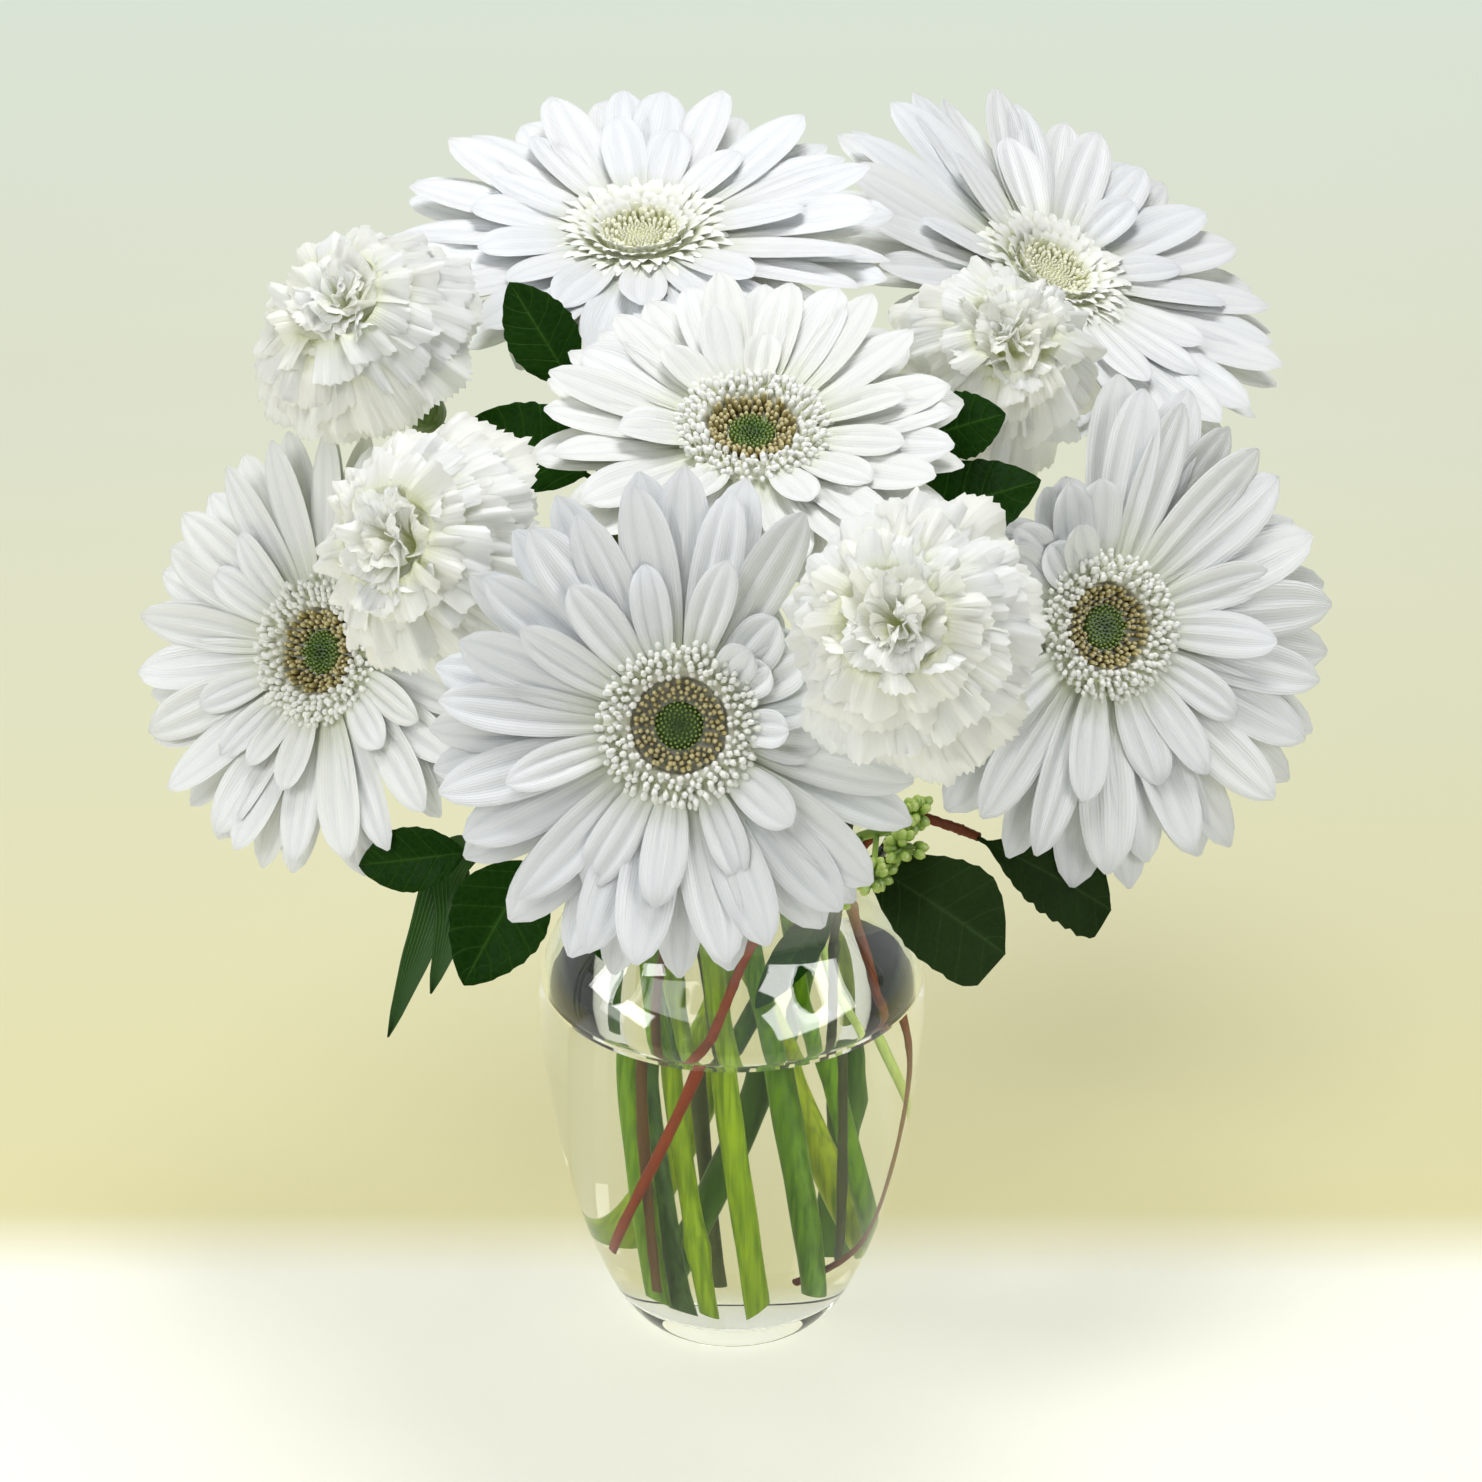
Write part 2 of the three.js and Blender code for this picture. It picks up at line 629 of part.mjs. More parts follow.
// A yellow-green stem with clusters of small buds.
function makeFiller(route, random) {
  const pieces = [bar(route, FILLER.radius, 5)];
  const stalk = dryCurve(FILLER.dry);
  FILLER.sprays.forEach((spray, n) => {
    const heart = vector(spray);
    pieces.push(bar([stalk.getPointAt(0.06 + 0.12 * n), heart], 0.9, 3));
    for (let i = 0; i < FILLER.budsInASpray; i++) {
      const turn = (2 * Math.PI * i) / FILLER.budsInASpray + random();
      const away = new THREE.Vector3(Math.cos(turn), 0.5 * random(), Math.sin(turn)).normalize();
      const bud = new THREE.OctahedronGeometry(FILLER.budRadius);
      bud.scale(0.8, 0.8, 1.3);
      bud.applyQuaternion(new THREE.Quaternion().setFromUnitVectors(new THREE.Vector3(0, 0, 1), away));
      pieces.push(bud.translate(...heart.clone().addScaledVector(away, 2.6)));
    }
  });
  return joined(pieces);
}

// ---------- putting it together ----------

const routes = [];

GERBERAS.forEach((bloom, n) => {
  const name = `gerbera_${n + 1}`;
  const random = randomFrom(SEED + bloom.seed);
  const route = stemRoute(bloom, CUP_DEPTH - 1);
  routes.push({ route, radius: GERBERA_STEM_RADIUS });
  const head = bloomGroup(bloom);
  addMesh(head, `${name}_rays`, makeRays(bloom, random), MATERIALS.whitePetal);
  addMesh(head, `${name}_florets`, makeFloretRing(), MATERIALS.brownFloret);
  addMesh(head, `${name}_eye`, makeEye(), MATERIALS.greenEye);
  addMesh(bouquet, `${name}_stem`, makeGerberaStem(bloom, route), MATERIALS.stem);
});

CARNATIONS.forEach((bloom, n) => {
  const name = `carnation_${n + 1}`;
  const random = randomFrom(SEED + 20 + n);
  const route = stemRoute(bloom, -CALYX_BOTTOM - 1);
  routes.push({ route, radius: CARNATION_STEM_RADIUS });
  addMesh(bloomGroup(bloom), `${name}_petals`, makeFrills(bloom, random), MATERIALS.creamPetal);
  addMesh(bouquet, `${name}_stem`, makeCarnationStem(bloom, route), MATERIALS.calyx);
});

let leafCount = 0;
SPRIGS.forEach((sprig) => {
  const route = twigRoute(sprig);
  routes.push({ route, radius: TWIG_RADIUS });
  addMesh(bouquet, sprig.name, solidOf(bar(route, TWIG_RADIUS, 5)), MATERIALS.twig);
  for (const leaf of sprig.leaves) {
    leafCount += 1;
    const seat = seatOn(sprig, leaf.on, leaf.tip);
    const solid = makeLeaf({ ...leaf, seat, tip: vector(leaf.tip) });
    addMesh(bouquet, `leaf_${leafCount}`, solid, MATERIALS.leaf);
  }
});
addMesh(bouquet, "strap_leaf", makeStrapLeaf(SPRIGS[1]), MATERIALS.strap);

const fillerRoute = twigRoute(FILLER);
routes.push({ route: fillerRoute, radius: FILLER.radius });
addMesh(bouquet, "filler_spray", makeFiller(fillerRoute, randomFrom(SEED + 40)), MATERIALS.bud);

addMesh(bouquet, "vase", makeVase(), MATERIALS.glass);
addMesh(bouquet, "water", makeWater(routes), MATERIALS.water);

export default bouquet;
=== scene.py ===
"""White gerberas and carnations with dark leaves in a clear glass vase of water."""

import math

import bpy
import numpy as np
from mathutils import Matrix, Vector


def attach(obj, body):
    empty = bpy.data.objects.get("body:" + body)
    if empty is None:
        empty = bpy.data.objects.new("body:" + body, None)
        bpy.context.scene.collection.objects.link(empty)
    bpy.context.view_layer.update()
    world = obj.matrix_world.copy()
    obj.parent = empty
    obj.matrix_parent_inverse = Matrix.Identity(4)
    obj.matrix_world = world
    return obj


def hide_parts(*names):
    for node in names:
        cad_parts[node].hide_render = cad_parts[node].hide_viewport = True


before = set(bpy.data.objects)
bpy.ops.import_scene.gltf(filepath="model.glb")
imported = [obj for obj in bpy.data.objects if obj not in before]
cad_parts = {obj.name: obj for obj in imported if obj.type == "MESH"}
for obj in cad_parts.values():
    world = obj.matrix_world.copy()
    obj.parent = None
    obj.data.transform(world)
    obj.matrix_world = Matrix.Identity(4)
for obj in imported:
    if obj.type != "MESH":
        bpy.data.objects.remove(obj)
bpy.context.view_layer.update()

MM = 0.001
UP = np.array([0.0, 0.0, 1.0])

# ---------- where everything is, in millimetres, as in the solids ----------

NECK_HEIGHT = 129
WATER_LEVEL = 100
VASE_WALL = 2.2
VASE_FLOOR = 8
BED_TOP = VASE_FLOOR + 4  # the wall's inside is smooth from here up
VASE_OUTSIDE = [
    (22.5, 0.2), (26, 2.2), (30.6, 8), (35.8, 19), (42, 39), (47, 64), (49.5, 90),
    (48.6, 103), (45.4, 111), (38.4, 121), (36, 129), (38.6, 138.5),
]

# Blooms. at: the disc's centre; faces: the way it looks; reach: its radius; cup: how high the tips of its
# rays stand; cool: its white, from warm at 0 to cool at 1; broad: the width of its rays against the usual;
# neck: where its stem passes the vase's neck; foot: where the stem ends; tone: the stem's green; slant: how
# the foot is cut; pressed: a neighbour that presses on its rays.
GERBERAS = [
    dict(
        at=(-24, 112, 258), faces=(-0.03, -0.21, 0.98), reach=67, cup=9, cool=0.75, broad=1.08,
        neck=(-6, 15), foot=(24, 6, 16), tone=0.05, slant=1.8,
    ),
    dict(
        at=(87.5, 156, 230), faces=(0.41, -0.28, 0.87), reach=69, cup=9, cool=0.7, broad=1.06,
        neck=(12, 23), foot=(-16, 20, 18), tone=0.2, slant=-1.5,
    ),
    dict(
        at=(5, 11, 246), faces=(0.02, -0.34, 0.94), reach=53, cup=9, cool=0.2, broad=1.16,
        neck=(2, 3), foot=(18, -14, 14), tone=0.55, slant=2.2,
    ),
    dict(
        at=(-104, 28, 178), faces=(-0.55, -0.72, 0.43), reach=58, cup=9, cool=0.45, broad=1.0,
        neck=(-22, 3), foot=(-16, -16, 14), tone=0.45, slant=1.2,
    ),
    dict(
        at=(-12, -69, 207), faces=(0.04, -0.91, 0.42), reach=59, cup=7, cool=0.85, broad=1.05,
        neck=(-6, -24), foot=(6, -21, 13), tone=0.3, slant=-2.4, pressed=(44, -64, 228),
    ),
    dict(
        at=(94, 24, 187), faces=(0.4, -0.8, 0.45), reach=65, cup=8, cool=0.7, broad=1.06,
        neck=(21, 4), foot=(-13, 2, 11), tone=0.75, slant=1.6, pressed=(70, 32, 237),
    ),
]
YOUNG = (0, 1)  # the two at the back, whose florets still stand as a pale crown
RAY_ROOT = 13.5  # where the rays leave the disc
PRESSED_SHARE = 0.6  # the length left to a ray that a neighbour presses on
PRESSED_ANGLE = 0.55  # how far to each side of the neighbour that reaches

CARNATIONS = [
    dict(at=(-92, 49, 256), faces=(-0.35, -0.52, 0.78), reach=33, neck=(-20, 19), foot=(-10, -14, 11), tone=0.85),
    dict(at=(-71, -30, 234), faces=(-0.55, -0.68, 0.48), reach=33, neck=(-17, -13), foot=(-5, -22, 13), tone=0.3),
    dict(at=(67, 58, 244.5), faces=(0.2, -0.62, 0.76), reach=29.5, neck=(25, 14), foot=(12, 22, 16), tone=0.7),
    dict(at=(41, -89, 241), faces=(-0.3, -0.78, 0.55), reach=33, neck=(14, -20), foot=(27, 2, 22), tone=0.5),
]

# Twigs. dry: the way from the tip down to the vase's neck; wet: the way on from there; tone: the bark's
# colour; on: where a leaf sits, as a share of the dry way.
SPRIGS = [
    dict(
        name="red_twig", tone=0.9,
        dry=[(30, -44, 160), (24, -40, 156), (15, -33, 145), (6, -30, 129)],
        wet=[(-3, -33, 106), (-28, -17, 29)],
        leaves=[dict(n=1, on=0.02, tip=(66, -59, 140), faces=(0.1, -0.8, 0.6), width=27, shape="blunt", bend=3)],
    ),
    dict(
        name="brown_twig", tone=0.45,
        dry=[(-64, -16, 146), (-50, -23, 150), (-31, -31, 154), (-20, -29, 144), (-16, -25, 129)],
        wet=[(-19, -20, 102), (-17, -20, 20)],
        leaves=[
            dict(n=2, on=0.02, tip=(-94, -4, 134), faces=(-0.2, -0.9, 0.4), width=16.5, shape="ovate", bend=3),
            dict(n=3, on=0.3, tip=(-66, -40, 120), faces=(-0.3, -0.85, 0.3), width=25, shape="ovate", bend=3),
            dict(n=4, on=0.52, tip=(-29, -46, 129), faces=(-0.1, -0.7, 0.7), width=17, shape="ovate", bend=3),
        ],
    ),
    dict(
        name="dark_twig", tone=0.1,
        dry=[(46, 25, 241), (43, 18, 226), (34, 9, 205), (33, -6, 178), (29, -13, 150), (25.5, -16.5, 129)],
        wet=[(25, -25, 103), (24, -17, 28)],
        leaves=[
            dict(n=5, on=0.02, tip=(67.5, 25, 245), faces=(0.1, -0.8, 0.55), width=17, shape="ovate", bend=2),
            dict(n=6, on=0.2, tip=(76.5, 21, 229), faces=(0.1, -0.8, 0.55), width=20, shape="ovate", bend=3),
            dict(n=7, on=0.96, tip=(6, -31, 108), faces=(0, -1, 0.1), width=11, shape="ovate", bend=1),
        ],
    ),
    dict(
        name="curved_twig", tone=0.7,
        dry=[(62, -3, 141.5), (54, -6, 146.5), (44, -9, 150.5), (34, -9.5, 144), (29, -8, 129)],
        wet=[(35, -11, 106), (40, -9, 78), (33, -10, 36), (28, -10, 28), (12, -6, 19)],
        leaves=[dict(n=8, on=0.02, tip=(96, -6, 122), faces=(0.1, -0.8, 0.6), width=21, shape="blunt", bend=3)],
    ),
    dict(
        name="green_twig", tone=0.2,
        dry=[(-38, 48, 243), (-34, 36, 230), (-28, 22, 210), (-18, 11, 170), (-10, 6, 129)],
        wet=[(-8, 8, 104), (-2, 14, 12)],
        leaves=[
            dict(n=9, on=0.02, tip=(-56, 62, 265), faces=(0, -0.9, 0.45), width=18, shape="ovate", bend=2),
            dict(n=10, on=0.2, tip=(-65, 43, 236), faces=(0, -0.85, 0.5), width=22, shape="ovate", bend=3),
            dict(n=11, on=0.36, tip=(-43, 22, 213), faces=(0, -0.85, 0.5), width=14, shape="ovate", bend=2),
        ],
    ),
]
STRAP_TOP = (-70, -5, 136)
STRAP_TIPS = [(-87, -22, 94), (-76, -19, 105)]
FILLER_DRY = [(44, -44, 170), (39, -38, 163), (30, -24, 152), (20, -8, 129)]
FILLER_WET = [(25, -8, 104), (38, 4, 52)]
FILLER_SPRAYS = [(44, -47, 172), (41, -51, 165), (34, -54, 159), (24, -53, 153)]

# ---------- how it is made ----------

GERBERA_SEED, CARNATION_SEED, SPRIG_SEED, FILLER_SEED = 40, 80, 200, 300
VASE_SIDES = 160
FLORET_SIDES = 5
EYE_BUDS = 100
GOLDEN_ANGLE = 2.39996
SHARP_EDGE = math.radians(75)
NOT_ALONG = (0.31, 0.94, 0.12)  # no bar starts out in this direction


# ---------- mesh tools ----------

def unit(v):
    """The vector, or each row, at a length of 1."""
    v = np.asarray(v, float)
    return v / np.maximum(np.linalg.norm(v, axis=-1, keepdims=True), 1e-12)


def turn_z(points, angle):
    """The points, turned about the Z axis."""
    c, s = math.cos(angle), math.sin(angle)
    return points @ np.array([[c, s, 0], [-s, c, 0], [0, 0, 1]])


class Place:
    """A bloom's own frame: its origin at the disc's centre, +Z the way it faces."""

    def __init__(self, at, faces):
        turn = Vector((0, 0, 1)).rotation_difference(Vector(faces).normalized())
        self.matrix = np.array(turn.to_matrix())
        self.at = np.array(at, float)

    def out(self, points):
        return points @ self.matrix.T + self.at

    def into(self, point):
        return (np.array(point, float) - self.at) @ self.matrix


class Form:
    """A mesh gathered bit by bit. Each point has a note for its material: three numbers."""

    def __init__(self):
        self.points, self.faces, self.notes, self.slots = [], [], [], []
        self.count = 0

    def add(self, points, faces, notes, slot=0):
        self.points.append(points)
        self.notes.append(np.broadcast_to(notes, points.shape))
        for block in faces:
            self.faces.extend((block + self.count).tolist())
            self.slots.extend([slot] * len(block))
        self.count += len(points)

    def build(self, name, materials, stands_for):
        mesh = bpy.data.meshes.new(name)
        mesh.from_pydata((np.concatenate(self.points) * MM).tolist(), [], self.faces)
        mesh.polygons.foreach_set("use_smooth", [True] * len(mesh.polygons))
        mesh.polygons.foreach_set("material_index", self.slots)
        note = mesh.attributes.new("note", "FLOAT_VECTOR", "POINT")
        note.data.foreach_set("vector", np.concatenate(self.notes).astype(np.float32).ravel())
        for m in materials:
            mesh.materials.append(m)
        mesh.update()
        mesh.set_sharp_from_angle(angle=SHARP_EDGE)
        piece = bpy.data.objects.new(name, mesh)
        bpy.context.scene.collection.objects.link(piece)
        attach(piece, "root")
        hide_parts(*stands_for)
        return piece


def grid_faces(index):
    """The four-sided faces of a grid of point numbers."""
    a, b = index[:-1, :-1], index[1:, :-1]
    c, d = index[1:, 1:], index[:-1, 1:]
    return np.stack([a.ravel(), b.ravel(), c.ravel(), d.ravel()], 1)


def shell(form, grid, notes, thick, slot=0, place=None):
    """A thin closed blade from a grid of points, sharp along its border."""
    n, m = grid.shape[:2]
    normal = unit(np.cross(np.gradient(grid, axis=0), np.gradient(grid, axis=1)))
    half = np.zeros((n, m, 1))
    half[1:-1, 1:-1] = thick / 2
    top = (grid + normal * half).reshape(-1, 3)
    bottom = (grid - normal * half)[1:-1, 1:-1].reshape(-1, 3)
    index = np.arange(n * m).reshape(n, m)
    under = index.copy()
    under[1:-1, 1:-1] = n * m + np.arange((n - 2) * (m - 2)).reshape(n - 2, m - 2)
    points = np.concatenate([top, bottom])
    notes = np.concatenate([notes.reshape(-1, 3), notes[1:-1, 1:-1].reshape(-1, 3)])
    if place:
        points = place.out(points)
    form.add(points, [grid_faces(index), grid_faces(under)[:, ::-1]], notes, slot)


def sweep(path, radii, sides):
    """Points and faces of a closed round bar along a path."""
    path = np.asarray(path, float)
    radii = np.broadcast_to(radii, len(path))
    along = unit(np.gradient(path, axis=0))
    across = np.cross(along[0], NOT_ALONG)
    angles = np.linspace(0, 2 * math.pi, sides, endpoint=False)
    rings = []
    for p, t, r in zip(path, along, radii):
        across = unit(across - t * np.dot(across, t))
        aside = np.cross(t, across)
        ring = np.outer(np.cos(angles), across) + np.outer(np.sin(angles), aside)
        rings.append(p + r * ring)
    index = np.arange(len(path) * sides).reshape(-1, sides)
    wrapped = np.concatenate([index, index[:, :1]], 1)
    faces = [grid_faces(wrapped)[:, ::-1], index[0][None, ::-1], index[-1][None, :]]
    return np.concatenate(rings), faces


def bar(form, path, radii, sides, tone, slant=0.0):
    """A closed round bar whose last end may be cut at a slant."""
    points, faces = sweep(path, radii, sides)
    if slant:
        foot = points[-sides:]
        lean = (foot - foot.mean(axis=0))[:, 0] / radii[-1] * slant
        points[-sides:] = foot + unit(path[-1] - path[-2]) * (lean - abs(slant))[:, None]
    tones = np.full(len(points), tone)
    along = np.repeat(np.linspace(0, 1, len(path)), sides)
    form.add(points, faces, np.stack([tones, along, tones], 1))


def blend(a, b, start, end, t):
    return (end - t) / (end - start) * a + (t - start) / (end - start) * b


def catmull(points, count):
    """A smooth curve through points, as evenly spaced as the solids' curves."""
    p = np.asarray(points, float)
    ends = np.concatenate([[2 * p[0] - p[1]], p, [2 * p[-1] - p[-2]]])
    out = []
    for i in range(len(p) - 1):
        a, b, c, d = ends[i:i + 4]
        t1, t2, t3 = np.cumsum([max(np.linalg.norm(w - v), 1e-6) ** 0.5 for v, w in ((a, b), (b, c), (c, d))])
        for t in np.linspace(t1, t2, count, endpoint=i == len(p) - 2):
            bc = blend(b, c, t1, t2, t)
            abc = blend(blend(a, b, 0.0, t1, t), bc, 0.0, t2, t)
            bcd = blend(bc, blend(c, d, t2, t3, t), t1, t3, t)
            out.append(blend(abc, bcd, t1, t2, t))
    return np.array(out)


def at_share(curve, share):
    """The point of a curve at a share of its length, and the curve's direction there."""
    steps = np.linalg.norm(np.diff(curve, axis=0), axis=1)
    length = np.concatenate([[0], np.cumsum(steps)])
    i = min(np.searchsorted(length, share * length[-1], side="right") - 1, len(steps) - 1)
    f = (share * length[-1] - length[i]) / steps[i]
    return curve[i] + (curve[i + 1] - curve[i]) * f, unit(curve[i + 1] - curve[i])


def lathe(form, outline, sides, notes=(0, 0, 0), slot=0, place=None):
    """A closed outline from axis to axis, anticlockwise when its axis is on the left."""
    rings, index, total = [], [], 0
    angles = np.linspace(0, 2 * math.pi, sides, endpoint=False)
    for r, z in outline:
        if r < 1e-6:
            rings.append(np.array([[0, 0, z]]))
            index.append(np.full(sides + 1, total))
            total += 1
            continue
        rings.append(np.stack([r * np.cos(angles), r * np.sin(angles), np.full(sides, z)], 1))
        ring = total + np.arange(sides)
        index.append(np.append(ring, ring[0]))
        total += sides
    faces = []
    for low, high in zip(index, index[1:]):
        quads = np.stack([low[:-1], low[1:], high[1:], high[:-1]], 1)
        if low[0] == low[1]:
            faces.append(quads[:, [0, 2, 3]])
        elif high[0] == high[1]:
            faces.append(quads[:, :3])
        else:
            faces.append(quads)
    points = np.concatenate(rings)
    form.add(place.out(points) if place else points, faces, notes, slot)


# ---------- materials ----------

def grey(value):
    return (value,) * 3


class Shader:
    """A material under construction, with short calls for its nodes."""

    def __init__(self, name):
        self.material = bpy.data.materials.new(name)
        self.material.use_nodes = True
        self.tree = self.material.node_tree
        self.bsdf = self.tree.nodes["Principled BSDF"]
        self.output = self.tree.nodes["Material Output"]

    def node(self, kind, **settings):
        made = self.tree.nodes.new("ShaderNode" + kind)
        for key, value in settings.items():
            setattr(made, key, value)
        return made

    def join(self, source, target):
        self.tree.links.new(source, target)

    def set(self, **values):
        for key, value in values.items():
            self.bsdf.inputs[key.replace("_", " ")].default_value = value

    def note(self):
        split = self.node("SeparateXYZ")
        self.join(self.node("Attribute", attribute_name="note").outputs["Vector"], split.inputs[0])
        return split.outputs

    def ramp(self, source, stops):
        made = self.node("ValToRGB")
        ramp = made.color_ramp
        while len(ramp.elements) < len(stops):
            ramp.elements.new(0.5)
        for element, (place, colour) in zip(ramp.elements, stops):
            element.position = place
            element.color = (*colour, 1)
        self.join(source, made.inputs[0])
        return made.outputs[0]

    def math(self, operation, a, b=0.0):
        made = self.node("Math", operation=operation)
        for value, socket in ((a, made.inputs[0]), (b, made.inputs[1])):
            if isinstance(value, (int, float)):
                socket.default_value = value
            else:
                self.join(value, socket)
        return made.outputs[0]

    def noise(self, scale, detail=3.0):
        made = self.node("TexNoise")
        made.inputs["Scale"].default_value = scale
        made.inputs["Detail"].default_value = detail
        made.inputs["Roughness"].default_value = 0.55
        self.join(self.node("TexCoord").outputs["Object"], made.inputs["Vector"])
        return made.outputs[0]

    def mix(self, kind, factor, a, b):
        made = self.node("MixRGB", blend_type=kind)
        if isinstance(factor, (int, float)):
            made.inputs[0].default_value = factor
        else:
            self.join(factor, made.inputs[0])
        for value, socket in ((a, made.inputs[1]), (b, made.inputs[2])):
            if isinstance(value, tuple):
                socket.default_value = (*value, 1)
            else:
                self.join(value, socket)
        return made.outputs[0]

    def bump(self, height, distance, strength=1.0):
        made = self.node("Bump")
        made.inputs["Distance"].default_value = distance * MM
        made.inputs["Strength"].default_value = strength
        self.join(height, made.inputs["Height"])
        self.join(made.outputs[0], self.bsdf.inputs["Normal"])

    def colour(self, source):
        self.join(source, self.bsdf.inputs["Base Color"])


def lines(shader, value, count):
    """Fine dark lines: 0 between them, 1 on them."""
    wave = shader.math("SINE", shader.math("MULTIPLY", value, count * math.pi))
    return shader.math("POWER", shader.math("ABSOLUTE", wave), 6.0)


def petal_material(name, stops, fine, glow, lift, vein_tone_and_shade, groove):
    """A petal, from root to rim by the stops, with fine veins, soft light through it and two grooves, painted shade
    along the veins, in the grooves and at the edges, and a faint painted glow of its own colour.
    """
    s = Shader(name)
    across, along, chance = s.note()
    tint = s.ramp(along, stops)
    # fine vein lines darkened grey-blue, more towards the root: partly the veins' own tone, partly painted shade in
    # the fine pleats
    veins = lines(s, s.math("ADD", across, s.math("MULTIPLY", s.noise(140), 0.08)), fine)
    inner = s.math("MULTIPLY", veins, s.math("SUBTRACT", 1.0, s.math("MULTIPLY", along, 0.6)))
    tint = s.mix("MULTIPLY", s.math("MULTIPLY", inner, vein_tone_and_shade), tint, (0.6, 0.66, 0.66))
    # painted shade: grey-blue darkening in the two grooves and towards the edges, by groove
    side = s.ramp(s.math("ABSOLUTE", across), [
        (0, grey(0.1)), (0.2, grey(0.15)), (0.36, grey(1)), (0.56, grey(0)), (0.8, grey(0.1)), (1, grey(0.6)),
    ])
    tint = s.mix("MULTIPLY", s.math("MULTIPLY", side, groove), tint, (0.74, 0.78, 0.81))
    cast = s.ramp(chance, [(0, (1.0, 0.995, 0.925)), (0.5, (1.0, 1.0, 0.985)), (1, (0.965, 0.98, 1.0))])
    tint = s.mix("MULTIPLY", 1.0, tint, cast)
    s.colour(tint)
    # a painted glow: the petal emits its own colour at strength lift, lifting its shade
    s.join(tint, s.bsdf.inputs["Emission Color"])
    s.set(
        Roughness=0.4, Specular_IOR_Level=0.4, Sheen_Weight=0.05, Sheen_Roughness=0.5,
        Subsurface_Weight=glow, Subsurface_Scale=0.0025, Emission_Strength=lift,
    )
    s.bsdf.inputs["Subsurface Radius"].default_value = (1.0, 1.0, 0.9)
    s.bump(s.math("ADD", veins, s.noise(420, 4)), 0.09, 0.5)
    return s.material


# white petals: painted shade along the vein lines and in the grooves, no painted glow
WHITE_PETAL = petal_material(
    "white_petal",
    [(0, (0.6, 0.65, 0.36)), (0.16, (0.8, 0.83, 0.7)), (0.4, (0.92, 0.93, 0.925)), (1, (0.92, 0.935, 0.965))],
    fine=9, glow=0.25, lift=0.0, vein_tone_and_shade=0.14, groove=0.3,
)
# cream petals: a faint painted glow and painted shade along the vein lines, none in the grooves
CREAM_PETAL = petal_material(
    "cream_petal",
    [(0, (0.5, 0.6, 0.1)), (0.4, (0.83, 0.88, 0.48)), (0.75, (0.925, 0.935, 0.86)), (1, (0.975, 0.98, 0.965))],
    fine=13, glow=0.5, lift=0.04, vein_tone_and_shade=0.08, groove=0.0,
)


def floret_material(name, stops, rough=0.55):
    """Small florets or buds, from root to tip by the stops."""
    s = Shader(name)
    _, along, chance = s.note()
    shifted = s.math("ADD", along, s.math("MULTIPLY", s.math("SUBTRACT", chance, 0.5), 0.25))
    s.colour(s.ramp(shifted, stops))
    s.set(Roughness=rough, Subsurface_Weight=0.15, Subsurface_Scale=0.0006)
    s.bsdf.inputs["Subsurface Radius"].default_value = (1.0, 1.0, 0.8)
    s.bump(s.noise(900), 0.08, 0.6)
    return s.material


WHITE_FLORET = floret_material(
    "white_floret", [(0, (0.7, 0.74, 0.48)), (0.35, (0.88, 0.895, 0.76)), (0.7, (0.95, 0.955, 0.91))],
)
BROWN_FLORET = floret_material(
    "brown_floret",
    [(0, (0.1, 0.085, 0.02)), (0.4, (0.22, 0.165, 0.04)), (0.75, (0.38, 0.31, 0.11)), (1, (0.64, 0.57, 0.31))],
)
PALE_FLORET = floret_material(
    "pale_floret", [(0, (0.6, 0.64, 0.3)), (0.5, (0.76, 0.79, 0.5)), (0.9, (0.9, 0.9, 0.74))],
)
EYE = floret_material(
    "green_eye", [(0, (0.03, 0.07, 0.01)), (0.45, (0.12, 0.22, 0.03)), (1, (0.34, 0.44, 0.12))],
)


def stem_material():
    s = Shader("green_stem")
    tone = s.note()[0]
    base = s.ramp(tone, [
        (0, (0.36, 0.44, 0.008)), (0.5, (0.12, 0.25, 0.005)), (0.8, (0.04, 0.1, 0.006)), (1, (0.16, 0.26, 0.08)),
    ])
    streak = s.node("TexNoise")
    streak.inputs["Scale"].default_value = 60
    stretch = s.node("Mapping")
    stretch.inputs["Scale"].default_value = (14, 14, 0.8)
    s.join(s.node("TexCoord").outputs["Object"], stretch.inputs["Vector"])
    s.join(stretch.outputs[0], streak.inputs["Vector"])
    streaks = s.ramp(streak.outputs[0], [(0.35, grey(0)), (0.7, grey(1))])
    s.colour(s.mix("MULTIPLY", streaks, base, (0.4, 0.5, 0.25)))
    s.set(Roughness=0.4, Specular_IOR_Level=0.15)
    s.bump(s.math("ADD", streak.outputs[0], s.math("MULTIPLY", s.noise(1200), 0.15)), 0.2, 0.6)
    return s.material


STEM = stem_material()


